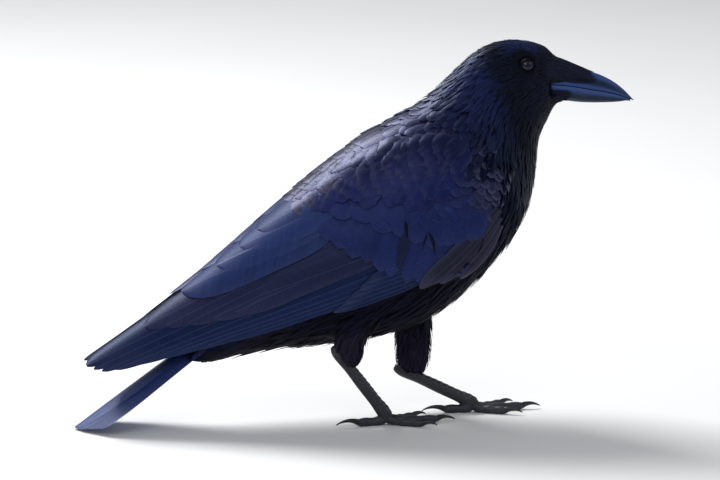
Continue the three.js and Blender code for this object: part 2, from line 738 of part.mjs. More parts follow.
for (const side of [RIGHT, LEFT]) {
  const name = side === RIGHT ? "right" : "left";
  const stack = (list, grow) => joined(list.map((feather) => blade(side, feather, grow)));
  const panelGrown = covertPanel(side, GAP);
  const tertialsGrown = stack(TERTIALS, GAP);
  const secondariesGrown = stack(SECONDARIES, GAP);
  const under = [bodyGrown, panelGrown];
  add(`wing_${name}_coverts`, cutBy(covertPanel(side), [bodyGrown]), wingGloss);
  add(`wing_${name}_tertials`, cutBy(stack(TERTIALS), under), wingGloss);
  const secondaries = cutBy(stack(SECONDARIES), [...under, tertialsGrown]);
  add(`wing_${name}_secondaries`, secondaries, wingGloss);
  const above = [...under, tertialsGrown, secondariesGrown];
  add(`wing_${name}_primaries`, cutBy(stack(PRIMARIES), above), wingGloss);
}

add("tail", cutBy(tailSolid(), [bodyGrown]).trimByPlane([0, 0, 1], FLOOR), tailGloss);

for (const leg of LEGS) {
  const tarsusGrown = tarsusSolid(leg, GAP);
  add(`shin_${leg.name}`, cutBy(shinSolid(leg), [bodyGrown, tarsusGrown]), shinFeathers);
  const tarsus = tarsusSolid(leg).trimByPlane([0, 0, 1], leg.foot[2] + ANKLE_RISE);
  add(`tarsus_${leg.name}`, tarsus, legScales);
  add(`foot_${leg.name}`, footSolid(leg), legScales);
  for (const toe of TOES) {
    add(`claw_${leg.name}_${toe.name}`, clawSolid(leg, toe), clawHorn);
  }
}

// Puts the origin on the floor, under the middle of the bounding box.
const box = new THREE.Box3().setFromObject(model);
model.position.set(-(box.min.x + box.max.x) / 2, -(box.min.y + box.max.y) / 2, -box.min.z);

export default model;
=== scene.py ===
import math

import bmesh
import bpy
import numpy as np
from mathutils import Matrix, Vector, kdtree
from mathutils.bvhtree import BVHTree


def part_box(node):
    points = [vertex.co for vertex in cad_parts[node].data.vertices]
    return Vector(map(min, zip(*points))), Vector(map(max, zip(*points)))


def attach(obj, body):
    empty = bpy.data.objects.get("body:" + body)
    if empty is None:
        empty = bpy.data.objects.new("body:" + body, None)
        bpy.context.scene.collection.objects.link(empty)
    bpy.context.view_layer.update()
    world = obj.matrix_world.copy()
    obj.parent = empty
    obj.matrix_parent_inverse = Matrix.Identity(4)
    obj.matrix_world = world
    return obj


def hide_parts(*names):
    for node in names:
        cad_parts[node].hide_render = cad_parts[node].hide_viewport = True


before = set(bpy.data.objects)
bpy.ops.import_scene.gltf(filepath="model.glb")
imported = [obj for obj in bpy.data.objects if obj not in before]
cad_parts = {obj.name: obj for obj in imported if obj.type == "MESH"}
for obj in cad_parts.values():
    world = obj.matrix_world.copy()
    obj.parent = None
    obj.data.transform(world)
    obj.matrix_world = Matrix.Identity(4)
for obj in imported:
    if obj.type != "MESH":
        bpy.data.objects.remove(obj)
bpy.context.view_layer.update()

MM = 0.001
RIGHT, LEFT = -1, 1
SIDE_NAMES = {RIGHT: "right", LEFT: "left"}
rng = np.random.default_rng(2611)

# -------- measurements

EYE = np.array([118.2, 13.0, 247.6])
EYE_RADIUS = 6.2
eye_low, eye_high = (np.array(corner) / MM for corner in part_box("eye_right"))
SHIFT = (eye_low + eye_high) / 2 - EYE * [1, RIGHT, 1]

# Sections of the body, from the face to the root of the tail: the top and bottom end
# [x, z], half the width, the depth of the coat, and then for the upper and the lower
# side the feathers' length, width and how pointed they are, and the colour.
BODY = [
    ("face", (146, 249.5), (146, 217.5), 10.5, 0.6, (4.5, 1.0, 1), "brow", (4, 0.9, 1), "chin"),
    ("lores", (138, 256), (140.5, 212), 14, 0.7, (5, 1.2, 1), "brow", (5, 1.1, 1), "chin"),
    ("brow", (128, 261.3), (135.5, 206), 17.5, 0.9, (6.5, 1.4, 1), "crown", (7, 1.4, 1), "throat"),
    ("crown", (113.5, 264), (131.5, 198), 21, 1.1, (8, 1.6, 1), "crown", (10, 1.8, 1), "throat"),
    ("hind_crown", (99.5, 263), (129.5, 189), 23.5, 1.3, (10, 1.9, 1), "hind_crown", (13, 2.2, 1), "throat"),
    ("nape", (86, 257.5), (129, 178), 26, 1.6, (13, 2.3, 1), "nape", (15, 2.6, 1), "throat"),
    ("neck", (73, 246.5), (127.8, 166), 30, 1.9, (15, 3.2, 0.9), "nape", (17, 3.2, 1), "breast"),
    ("neck_base", (61, 234.5), (124.8, 152), 37.5, 2.1, (17, 7.5, 0.4), "mantle", (20, 4.2, 0.9), "breast"),
    ("mantle", (47, 222.5), (119.3, 137), 45.5, 2.3, (21, 12, 0.1), "mantle", (22, 5.2, 0.8), "breast"),
    ("breast", (28, 213), (108, 119), 50.5, 2.4, (25, 14, 0), "mantle", (24, 6, 0.8), "breast"),
    ("back", (9, 199.5), (92.5, 101), 52, 2.4, (28, 15, 0), "mantle", (26, 6, 0.9), "belly"),
    ("belly", (-10, 181.5), (71, 80.5), 50, 2.4, (30, 16, 0), "mantle", (27, 6, 1), "belly"),
    ("loin", (-31, 160), (45, 65), 45, 2.4, (31, 15, 0), "rump", (27, 6, 1), "belly"),
    ("rump", (-54, 134), (15, 57.5), 36.5, 2.3, (32, 14, 0.1), "rump", (28, 6.5, 1), "belly"),
    ("vent", (-78, 103.5), (-18, 52.5), 27, 2.2, (32, 13, 0.1), "rump", (30, 8, 0.8), "vent"),
    ("under_tail", (-101, 75), (-56, 51), 21.5, 2, (30, 13, 0.1), "rump", (34, 10, 0.4), "vent"),
    ("tail_coverts", (-122, 55), (-98, 43.5), 17.5, 1.8, (26, 12, 0.1), "rump", (30, 10, 0.3), "vent"),
]
SECTION = {row[0]: number for number, row in enumerate(BODY)}
# Where along the body the pieces of the coat end or begin.
HEAD_END, NECK_END = SECTION["hind_crown"] + 0.35, SECTION["neck"] + 0.9
BREAST_END = BELLY_START = SECTION["back"]
BACK_END = SECTION["loin"] + 0.5

# Base colours, as display values. The plumage's blue, and the upper parts being lighter than the throat and
# underparts, are partly the crow's own gloss and partly painted light: a reflection of blue sky and light
# from above.
COLOURS = {
    "brow": (11, 12, 20),
    "chin": (11, 12, 18),
    "crown": (22, 31, 68),
    "throat": (4, 5, 11),
    "nape": (20, 27, 64),
    "mantle": (8, 13, 44),
    # ridge: warmer and lighter than the mantle, a painted warm highlight on the feathers along the top of the
    # back
    "ridge": (30, 27, 44),
    "scapular": (15, 23, 68),
    "rump": (20, 26, 48),
    "breast": (6, 13, 29),
    "belly": (16, 14, 26),
    "thigh": (35, 32, 46),
    "cheek": (9, 10, 17),
    "covert": (27, 34, 79),
    "shoulder": (36, 37, 62),
    "worn": (40, 38, 54),
    "alula": (32, 30, 42),
    "secondary": (29, 31, 58),
    "tertial": (28, 41, 84),
    "primary": (14, 27, 61),
    "tail": (19, 45, 106),
    # a pale rim colour: partly worn feather edges, partly a painted highlight where light catches them
    "fringe": (98, 100, 130),
    "bill": (12, 17, 36),
    # painted reflection: the bright blue of the sky mirrored in bands along the bill
    "bill_painted_sheen": (50, 74, 136),
    "bill_edge": (70, 84, 120),
    "hind_crown": (3, 4, 11),
    "vent": (25, 23, 28),
    "leg": (27, 27, 38),
    "leg_edge": (104, 106, 122),
    "claw": (16, 15, 20),
    "lid": (5, 5, 8),
    "iris": (20, 13, 10),
}

# The folded wing, in a frame of its own: t runs along it from the wrist to the tip and
# p rises across it. Each row gives t, the ridge, the widest line, the lower edge and
# half the width over both wings.
WRIST = (104, 168)
WING_SLOPE = math.radians(24.5)
WING_TUCK = 60  # how far below its widest line the wing's section would close
MIDLINE = 0.6  # how near the wings come to the midline
WRAP = 1.5  # how softly the upper vanes bend over the ridge
WING = [
    (-12, 62, 4, 2, 41),
    (2, 72, 2, -6, 48),
    (20, 77, -2, -18.5, 53.5),
    (36, 76.5, -5, -30, 56),
    (54, 75, -7, -37, 57),
    (75, 70.5, -9, -39, 57),
    (96, 65, -10, -34.5, 56.3),
    (120, 58.5, -11.5, -30, 54.5),
    (146, 51.5, -13, -26, 50.5),
    (178, 42.5, -13, -19.5, 43.5),
    (215, 32.5, -11, -15, 34.5),
    (250, 24.5, -8, -10.5, 26.5),
    (285, 17.5, -3, -4, 19),
    (316, 12, 3, 2, 13.5),
]
# The panel of coverts: its ends along the wing, and where its upper edge lies.
PANEL = {"front": -6, "rear": 138, "top_front": 22, "top_middle": 50, "middle": 52}

# The closed tail, from [x, z] at its root to its tip, twelve feathers in six pairs.
TAIL_ROOT, TAIL_TIP = (-72, 86.5), (-192.5, 0.6)
TAIL_PAIRS = 6

# The legs, with the drawing's y outwards from the midline.
LEGS = [
    {
        "side": RIGHT,
        "shin": [(14, 24, 94), (-4, 24, 69), (-4.5, 23, 43)],
        "heel": (-12.7, 23, 51.8),
        "foot": (21.6, 15, 5.4),
        "turn": -4,
    },
    {
        "side": LEFT,
        "shin": [(47, 24, 90), (46.5, 24, 55), (45.5, 23.5, 25.5)],
        "heel": (38.5, 24, 27.5),
        "foot": (86.5, 13, 5.2),
        "turn": 3,
    },
]
FLOOR = -1.4
TOE_LEVEL = 2.7  # how high over the floor the middle of a toe lies
TOES = [  # name, angle outwards in degrees, length, radius at the root and end, claw's length
    ("hallux", 176, 20, 3.5, 2.9, 17),
    ("inner", -27, 24, 3.2, 2.6, 13),
    ("middle", 2, 36, 3.4, 2.7, 13.5),
    ("outer", 29, 26.5, 3.2, 2.5, 11.5),
]

# The bill's stations: x, the culmen, the cutting edge, the keel and half the width.
BILL = [
    (132, 252, 233.4, 222.6, 9.6),
    (146, 248.2, 232, 220.3, 8.8),
    (156, 244, 230.3, 218.8, 7.4),
    (165, 240.1, 228.2, 218.1, 6.2),
    (174, 236.5, 226.3, 217.9, 5),
    (182, 232, 224.2, 217.9, 3.9),
    (188.5, 226.8, 222, 218.2, 2.7),
    (192.6, 222.6, 220.2, 218.7, 1.7),
    (195.6, 219.3, 218.8, 218.4, 0.5),
]

# -------- numbers and curves


def linear(name):
    """A named colour as linear light."""
    c = np.array(COLOURS[name]) / 255
    return np.where(c <= 0.04045, c / 12.92, ((c + 0.055) / 1.055) ** 2.4)


def mix(a, b, f):
    return a + (b - a) * f


def ramp(value, low, high):
    """0 below low and 1 above high, smooth between them."""
    f = np.clip((value - low) / (high - low), 0, 1)
    return f * f * (3 - 2 * f)


def unit(vectors):
    return vectors / np.maximum(np.linalg.norm(vectors, axis=-1, keepdims=True), 1e-9)


def reading(at, value):
    """A smooth curve through the values, as a function of one number or an array."""
    at, value = np.asarray(at, float), np.asarray(value, float)
    order = np.arange(len(at))
    before, after = np.maximum(order - 1, 0), np.minimum(order + 1, len(at) - 1)
    slope = (value[after] - value[before]) / (at[after] - at[before])

    def read(t):
        i = np.clip(np.searchsorted(at, t) - 1, 0, len(at) - 2)
        span = at[i + 1] - at[i]
        f = np.clip((t - at[i]) / span, 0, 1)
        rise = f * (1 - f) ** 2 * slope[i] - f * f * (1 - f) * slope[i + 1]
        return mix(value[i], value[i + 1], f * f * (3 - 2 * f)) + rise * span

    return read


def columns_of(rows, at=None):
    """A reading for each column of a table, along its first column or its row number."""
    table = np.array(rows, float)
    at = table[:, 0] if at is None else at
    return [reading(at, column) for column in table.T]


sections = np.arange(len(BODY))
top_x, top_z = columns_of([row[1] for row in BODY], sections)
bottom_x, bottom_z = columns_of([row[2] for row in BODY], sections)
body_half = reading(sections, [row[3] for row in BODY])
coat_depth = reading(sections, [row[4] for row in BODY])
upper_length, upper_width, upper_point = columns_of([row[5] for row in BODY], sections)
lower_length, lower_width, lower_point = columns_of([row[7] for row in BODY], sections)
upper_colour = columns_of([linear(row[6]) for row in BODY], sections)
lower_colour = columns_of([linear(row[8]) for row in BODY], sections)
_, wing_top, wing_widest, wing_low, wing_half = columns_of(WING)
_, bill_culmen, bill_edge, bill_keel, bill_half = columns_of(BILL)

WING_ALONG = np.array([-math.cos(WING_SLOPE), 0, -math.sin(WING_SLOPE)])
WING_ACROSS = np.array([-math.sin(WING_SLOPE), 0, math.cos(WING_SLOPE)])


def wing_width(t, p):
    """Half the width over both wings at a place on them."""
    rise = p - wing_widest(t)
    reach = np.where(rise > 0, wing_top(t) - wing_widest(t), WING_TUCK)
    return wing_half(t) * np.sqrt(np.maximum(0, 1 - (rise / reach) ** 2))


def wing_point(side, t, p, depth):
    """Points at a depth under the outer surface of a folded wing."""
    p = wing_top(t) - 0.03 - WRAP * np.logaddexp(0, (wing_top(t) - p) / WRAP)
    slope = wing_width(t, p + 0.5) - wing_width(t, p - 0.5)
    size = np.hypot(1, slope)
    y = np.maximum(wing_width(t, p) - depth / size, MIDLINE + 0.12 * (8 - depth))
    level = p + depth * slope / size
    flat = t[..., None] * WING_ALONG + level[..., None] * WING_ACROSS
    return flat + np.stack([np.full_like(y, WRIST[0]), side * y, np.full_like(y, WRIST[1])], -1)


def ridge_point(t, y, rise):
    """Points over both folded wings, at a distance from the midline and above them."""
    share = np.clip(np.abs(y) / wing_half(t), 0, 0.95)
    p = wing_widest(t) + (wing_top(t) - wing_widest(t)) * np.sqrt(1 - share**2) + rise
    flat = t[..., None] * WING_ALONG + p[..., None] * WING_ACROSS
    return flat + np.stack([np.full_like(y, WRIST[0]), y, np.full_like(y, WRIST[1])], -1)


def wing_place(points):
    """The place t, p of points on or in a wing, and how deep they lie in it."""
    from_wrist = points - [WRIST[0], 0, WRIST[1]]
    t = from_wrist @ WING_ALONG
    p = from_wrist @ WING_ACROSS
    return t, p, wing_width(t, p) - np.abs(points[:, 1])


def panel_top(t):
    """Where the upper edge of the wing coverts lies."""
    front = ramp(t, PANEL["front"], PANEL["middle"])
    return mix(PANEL["top_front"], PANEL["top_middle"], front)
# -------- making pieces

WELD = 0.01  # points closer than this become one


def linked(name, data):
    """A new object, in the scene."""
    made = bpy.data.objects.new(name, data)
    bpy.context.scene.collection.objects.link(made)
    return made


def mesh_object(name, points, faces, smooth=True):
    """An object from points in millimetres and a list of faces."""
    mesh = bpy.data.meshes.new(name)
    placed = (np.asarray(points, float) + SHIFT) * MM
    mesh.from_pydata(placed.tolist(), [], faces)
    mesh.polygons.foreach_set("use_smooth", np.full(len(mesh.polygons), smooth))
    return linked(name, mesh)


def finished(made, slot, material, *replaced):
    """Gives a piece its material, hangs it under the root and hides the parts that it replaces."""
    made.data.materials.clear()
    made.data.materials.append(material)
    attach(made, "root")
    if replaced:
        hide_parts(*replaced)


def paint(made, name, values):
    """Stores a colour, a vector or a number at each vertex."""
    values = np.asarray(values, np.float32)
    kinds = {1: ("FLOAT", "value"), 3: ("FLOAT_VECTOR", "vector"), 4: ("FLOAT_COLOR", "color")}
    kind, key = kinds[1 if values.ndim == 1 else values.shape[1]]
    layer = made.data.attributes.new(name, kind, "POINT")
    layer.data.foreach_set(key, values.ravel())


def with_alpha(colours):
    return np.concatenate([colours, np.ones((len(colours), 1))], 1)


def tube(rings, closed_ends=True):
    """Points and faces of a closed body through rings of points, in order round it."""
    rings = np.asarray(rings, float)
    count, segments = rings.shape[:2]
    points = rings.reshape(-1, 3)
    index = np.arange(count * segments).reshape(count, segments)
    turned = np.roll(index, -1, 1)
    quads = np.stack([index[:-1], index[1:], turned[1:], turned[:-1]], -1).reshape(-1, 4)
    faces = quads.tolist()
    if closed_ends:
        points = np.concatenate([points, rings[:1].mean(1), rings[-1:].mean(1)])
        first, last = len(points) - 2, len(points) - 1
        for j in range(segments):
            faces.append([first, int(index[0, j]), int(turned[0, j])])
            faces.append([last, int(turned[-1, j]), int(index[-1, j])])
    return points, faces


def merged(bodies):
    """Several (points, faces) as one."""
    points, faces, start = [], [], 0
    for body_points, body_faces in bodies:
        points.append(body_points)
        faces += [[i + start for i in face] for face in body_faces]
        start += len(body_points)
    return np.concatenate(points), faces


def faced_out(made, weld=False):
    """Turns a small piece's faces outwards, and joins points that coincide if asked to."""
    bm = bmesh.new()
    bm.from_mesh(made.data)
    if weld:
        bmesh.ops.remove_doubles(bm, verts=bm.verts, dist=WELD * MM)
    bmesh.ops.recalc_face_normals(bm, faces=bm.faces)
    bm.to_mesh(made.data)
    bm.free()
    return made


def remeshed(name, source, voxel):
    """A copy of an object as one closed skin of even quads, in place of the object."""
    modifier = source.modifiers.new("remesh", "REMESH")
    modifier.mode = "VOXEL"
    modifier.voxel_size = voxel * MM
    modifier.use_smooth_shade = True
    graph = bpy.context.evaluated_depsgraph_get()
    mesh = bpy.data.meshes.new_from_object(source.evaluated_get(graph))
    bpy.data.objects.remove(source)
    mesh.name = name
    return linked(name, mesh)


def at_vertices(mesh, key):
    flat = np.zeros(len(mesh.vertices) * 3, np.float32)
    mesh.vertices.foreach_get(key, flat)
    return flat.reshape(-1, 3).astype(float)


def points_of(mesh):
    return at_vertices(mesh, "co") / MM - SHIFT


def set_points(mesh, points):
    placed = ((points + SHIFT) * MM).astype(np.float32)
    mesh.vertices.foreach_set("co", placed.ravel())
    mesh.update()


def edge_ends(mesh):
    """The numbers of each edge's two vertices."""
    ends = np.zeros(len(mesh.edges) * 2, np.int32)
    mesh.edges.foreach_get("vertices", ends)
    return ends.reshape(-1, 2)


def smoothed(mesh, points, rounds):
    """The points after each has moved halfway to the middle of its neighbours, in rounds."""
    a, b = edge_ends(mesh).T
    size = len(points)
    count = np.bincount(a, minlength=size) + np.bincount(b, minlength=size)
    for _ in range(rounds):
        total = [np.bincount(a, points[b, k], size) + np.bincount(b, points[a, k], size) for k in range(3)]
        points = (points + np.stack(total, 1) / count[:, None]) / 2
    return points


# -------- materials

BARB_PITCH, BARB_SLANT = 0.42, -0.9  # from barb to barb, and how far one runs on in its width
SHAFT_EDGE = (0.28, 0.5)  # between these distances from its middle the shaft's ridge falls
BLACK = (0, 0, 0, 1)
BODY_TINT = (0.36, 0.5, 1.0, 1)
MANTLE_TINT = (0.36, 0.42, 1.0, 1)
TAIL_TINT = (0.6, 0.68, 1.0, 1)
BILL_TINT = (0.5, 0.66, 1.0, 1)
EYE_TINT = (0.5, 0.58, 1.0, 1)
# painted shade: near black, for the shadow in the mouth line where the upper half of the bill overlaps the
# lower
SLIT_SHADE_COLOUR = (0.001, 0.001, 0.0015, 1)
PUPIL_COLOUR = (0.003, 0.003, 0.004, 1)
IRIS_RAY_COLOUR = (0.012, 0.008, 0.006, 1)
PUPIL_EDGE, IRIS_EDGE = (2.3, 2.6), (4.2, 4.7)  # distances from the eye's axis


class Nodes:
    """A material's node tree, with short ways to add to it."""

    def __init__(self, name):
        self.material = bpy.data.materials.new(name)
        self.material.use_nodes = True
        self.tree = self.material.node_tree
        self.shader = self.tree.nodes["Principled BSDF"]

    def add(self, kind, inputs, output=0, **settings):
        """Adds a node and returns one of its outputs."""
        node = self.tree.nodes.new(kind)
        for key, value in settings.items():
            setattr(node, key, value)
        for key, value in inputs.items():
            self.join(value, node.inputs[key])
        return node.outputs[output]

    def join(self, value, socket):
        if isinstance(value, bpy.types.NodeSocket):
            self.tree.links.new(value, socket)
        else:
            socket.default_value = value

    def set(self, **sockets):
        for key, value in sockets.items():
            self.join(value, self.shader.inputs[key.replace("_", " ")])
        return self.material

    def math(self, operation, *values, **settings):
        return self.add("ShaderNodeMath", dict(enumerate(values)), operation=operation, **settings)

    def steps(self, value, low, high, out_low=0.0, out_high=1.0):
        inputs = {0: value, 1: low, 2: high, 3: out_low, 4: out_high}
        return self.add("ShaderNodeMapRange", inputs, interpolation_type="SMOOTHSTEP")

    def blend(self, factor, a, b, mode="MIX"):
        """Colour a turned into b. The colours' sockets are 6, 7 and, going out, 2."""
        inputs = {0: factor, 6: a, 7: b}
        return self.add("ShaderNodeMix", inputs, 2, data_type="RGBA", blend_type=mode)

    def grey(self, value):
        return self.add("ShaderNodeCombineColor", {0: value, 1: value, 2: value})

    def noise(self, scale, detail, vector):
        return self.add("ShaderNodeTexNoise", {"Scale": scale, "Detail": detail, "Vector": vector})

    def cells(self, scale):
        inputs = {"Vector": self.place(), "Scale": scale}
        return self.add("ShaderNodeTexVoronoi", inputs, "Distance")

    def stored(self, name, output="Fac"):
        """A colour, a vector or a number stored at each vertex."""
        return self.add("ShaderNodeAttribute", {}, output, attribute_name=name)

    def three(self, name):
        """The three numbers of a vector stored at each vertex."""
        split = self.add("ShaderNodeSeparateXYZ", {0: self.stored(name, "Vector")})
        return split.node.outputs[:3]

    def bump(self, height, strength, distance=0.0002):
        inputs = {"Height": height, "Strength": strength, "Distance": distance}
        return self.add("ShaderNodeBump", inputs)

    def place(self, *scale):
        """The place on the object, stretched by a scale if one is given."""
        place = self.add("ShaderNodeTexCoord", {}, "Object")
        return self.add("ShaderNodeMapping", {0: place, "Scale": scale}) if scale else place


def rgb(name):
    return (*linear(name), 1)


def feather_material(name, roughness, specular, tint, barb_bump=0.16):
    """Barbs slant off each side of the shaft, and the rim is paler: partly wear, and partly a painted
    highlight of light catching the feathers' edges.
    """
    n = Nodes(name)
    across, along, own = n.three("vane")
    edge, fringe, shaft = n.three("rim")
    aside = n.math("ABSOLUTE", across)
    slant = n.math("MULTIPLY_ADD", aside, BARB_SLANT, along)
    barb = n.math("SINE", n.math("MULTIPLY", slant, 2 * math.pi / BARB_PITCH))
    fray = n.noise(900.0, 2.0, n.place())
    broken = n.math("MULTIPLY_ADD", fray, 3.0, slant)
    bands = n.noise(0.9, 2.0, n.add("ShaderNodeCombineXYZ", {0: broken, 1: own}))
    shade = n.grey(n.steps(bands, 0.3, 0.7, 0.82, 1.16))
    base = n.blend(1.0, n.stored("tint", "Color"), shade, "MULTIPLY")
    base = n.blend(n.math("MULTIPLY", n.steps(edge, 0.4, 1.08), fringe), base, rgb("fringe"))
    ridge = n.math("MULTIPLY", n.steps(aside, *SHAFT_EDGE, 1.0, 0.0), shaft)
    base = n.blend(n.math("MULTIPLY", ridge, 0.1, use_clamp=True), base, rgb("fringe"))
    height = n.math("MULTIPLY_ADD", ridge, 1.4, barb)
    return n.set(
        Base_Color=base,
        Roughness=roughness,
        Specular_IOR_Level=specular,
        Specular_Tint=tint,
        Normal=n.bump(height, barb_bump, 0.00006),
    )


def skin_material():
    n = Nodes("skin_plumage")
    fine = n.noise(1500.0, 4.0, n.place())
    base = n.blend(n.steps(fine, 0.3, 0.7, 0.0, 0.5), n.stored("tint", "Color"), BLACK)
    return n.set(Base_Color=base, Roughness=0.8, Specular_IOR_Level=0.1, Normal=n.bump(fine, 0.6, 0.0004))


def bill_material():
    """Horn: faint growth lines along it, painted bands of reflected sky, painted shade along the mouth line,
    a worn edge and fine scratches.
    """
    n = Nodes("bill_horn")
    lines = n.noise(1400.0, 4.0, n.place(0.25, 1.0, 1.0))
    cloud = n.noise(160.0, 3.0, n.place())
    # painted shade along the mouth line, where the horn also loses its shine
    painted_slit_shade = n.stored("painted_slit_shade")
    # painted reflection: the stored bands turn the horn a bright blue
    base = n.blend(n.stored("painted_sheen"), rgb("bill"), rgb("bill_painted_sheen"))
    base = n.blend(n.steps(cloud, 0.4, 0.75, 0.0, 0.12), base, rgb("bill_edge"))
    base = n.blend(n.math("MULTIPLY", n.stored("wear"), 0.3), base, rgb("bill_edge"))
    return n.set(
        Base_Color=n.blend(painted_slit_shade, base, SLIT_SHADE_COLOUR),
        Roughness=n.steps(lines, 0.3, 0.7, 0.26, 0.4),
        Specular_IOR_Level=n.steps(painted_slit_shade, 0.0, 1.0, 0.42, 0.02),
        Specular_Tint=BILL_TINT,
        Normal=n.bump(lines, 0.2),
    )


def leg_material():
    """Scales with a fine grain and paler, worn edges."""
    n = Nodes("leg_scales")
    cloud = n.noise(300.0, 4.0, n.place())
    base = n.blend(n.steps(cloud, 0.35, 0.7, 0.0, 0.5), rgb("leg"), rgb("claw"))
    base = n.blend(n.math("MULTIPLY", n.stored("wear"), 0.6), base, rgb("leg_edge"))
    pebbles = n.bump(n.cells(1100.0), 0.35)
    return n.set(Base_Color=base, Roughness=n.steps(cloud, 0.3, 0.7, 0.42, 0.6), Normal=pebbles)


def claw_material():
    n = Nodes("claw_horn")
    lines = n.noise(1800.0, 3.0, n.place(0.3, 1.0, 0.6))
    base = n.blend(n.steps(lines, 0.35, 0.75, 0.0, 0.5), rgb("claw"), rgb("leg"))
    roughness = n.steps(lines, 0.3, 0.7, 0.25, 0.4)
    return n.set(Base_Color=base, Roughness=roughness, Normal=n.bump(lines, 0.2))


def eye_material():
    """A black pupil in a dark brown iris with fine rays, under a wet shine."""
    n = Nodes("eye_gloss")
    out = n.stored("from_axis")
    rays = n.noise(2500.0, 3.0, n.place())
    iris = n.blend(n.steps(rays, 0.3, 0.7), rgb("iris"), IRIS_RAY_COLOUR)
    in_iris = n.math("MULTIPLY", n.steps(out, *PUPIL_EDGE), n.steps(out, *IRIS_EDGE, 1.0, 0.0))
    return n.set(
        Base_Color=n.blend(in_iris, PUPIL_COLOUR, iris),
        Roughness=n.steps(rays, 0.0, 1.0, 0.05, 0.08),
        Specular_IOR_Level=0.5,
        Specular_Tint=EYE_TINT,
    )


def lid_material():
    n = Nodes("lid_skin")
    folds = n.cells(2600.0)
    base = n.blend(n.steps(folds, 0.1, 0.6), rgb("lid"), rgb("cheek"))
    return n.set(Base_Color=base, Roughness=0.6, Specular_IOR_Level=0.06, Normal=n.bump(folds, 0.3))


materials = {
    "coat": feather_material("coat_feather", 0.44, 0.24, BODY_TINT),
    "soft": feather_material("soft_feather", 0.65, 0.07, BODY_TINT),
    "mantle": feather_material("mantle_feather", 0.33, 0.29, MANTLE_TINT),
    "wing": feather_material("wing_feather", 0.38, 0.2, BODY_TINT, 0.14),
    "tail": feather_material("tail_feather", 0.34, 0.5, TAIL_TINT, 0.14),
    "skin": skin_material(),
    "bill": bill_material(),
    "leg": leg_material(),
    "claw": claw_material(),
    "eye": eye_material(),
    "lid": lid_material(),
}

# -------- the skin

SKIN_NODES = ["head", "neck", "trunk", "shin_right", "shin_left"]
SKIN_NODES += ["wing_right_coverts", "wing_left_coverts"]
SKIN_VOXEL = 1.5
SKIN_SHADE = 0.45  # the skin's colour, as a share of that of the feathers over it
PANEL_FLESH, FLESH_DRAWN = 84, 0.93  # how far back the wing's flesh reaches, and how fully
PANEL_DEPTH = 5.5  # how deep under the wing's surface its covert panel reaches
CLOSING = 0.26  # how far each solid grows, so that the gaps between them close
THINNEST = 0.36  # the largest share of the body's thickness that the coat takes
# Small swellings and hollows of the head: the place, how wide and how far out.
FORMS = [
    ((121.5, 16.6, 254), 6, 1.6),
    ((118.2, 16.7, 247.6), 8.5, 2.2),
    ((137, 12, 243), 6, -0.6),
    ((112, 20, 240), 9, 0.8),
    ((120, 18, 232), 9, 0.7),
    ((130, 14, 229), 7, 0.5),
    ((104, 23, 252), 10, -0.5),
]
CHEEK, LORES = [118, 236], [130, 244.5]
CHEEK_END = 4.6  # how far along the body's sections the colour of the cheek goes
FACE_END = 145.5  # the x at which the skin has closed round the bill
GRID_ALONG, GRID_UP = 320, 40  # steps of the grid over the body's side view
SHIN_STEPS = 40
LONGEST_RAY = 20  # how thick the body is taken to be at the most


def draw_in(vertex):
    """Shortens the wing's covert panel, whose rear is feathers with no flesh under them."""
    t = (np.array(vertex.co) / MM - SHIFT - [WRIST[0], 0, WRIST[1]]) @ WING_ALONG
    if t > PANEL_FLESH:
        vertex.co -= Vector(WING_ALONG) * (FLESH_DRAWN * (t - PANEL_FLESH) * MM)


def joined_flesh():
    """The flesh solids, each a little grown, in one object."""
    bm = bmesh.new()
    for name in SKIN_NODES:
        solid = bmesh.new()
        solid.from_mesh(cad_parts[name].data)
        bmesh.ops.remove_doubles(solid, verts=solid.verts, dist=WELD * MM)
        bmesh.ops.recalc_face_normals(solid, faces=solid.faces)
        solid.normal_update()
        for vertex in solid.verts:
            vertex.co += vertex.normal * CLOSING * MM
            if "wing" in name:
                draw_in(vertex)
        grown = bpy.data.meshes.new("grown")
        solid.to_mesh(grown)
        solid.free()
        bm.from_mesh(grown)
        bpy.data.meshes.remove(grown)
    mesh = bpy.data.meshes.new("flesh")
    bm.to_mesh(mesh)
    bm.free()
    return linked("flesh", mesh)


def at_gape(points):
    """How far points lie beside the corner of the mouth, where the bill is bare."""
    x, _, z = points.T
    keel, edge = bill_keel(x), bill_edge(x)
    height = ramp(z, keel + 3.6, keel + 5) * (1 - ramp(z, edge + 1, edge + 2.4))
    return ramp(x, 133.5, 138.5) * height


def onto_bill(points):
    """Draws the front of the face in, so that it ends close round the root of the bill."""
    x, y, z = points.T
    close = ramp(x, 133, FACE_END)
    half = np.minimum(np.abs(y), bill_half(x) + 0.3)
    low = np.maximum(z, bill_keel(x) - 0.2)
    high = np.minimum(low, bill_culmen(x) + 0.2)
    inside = np.sign(y) * np.minimum(np.abs(y), bill_half(x) * 0.8 - 0.5)
    y = mix(y, np.sign(y) * half, close)
    return np.stack([x, mix(y, inside, at_gape(points)), mix(z, high, close)], 1)


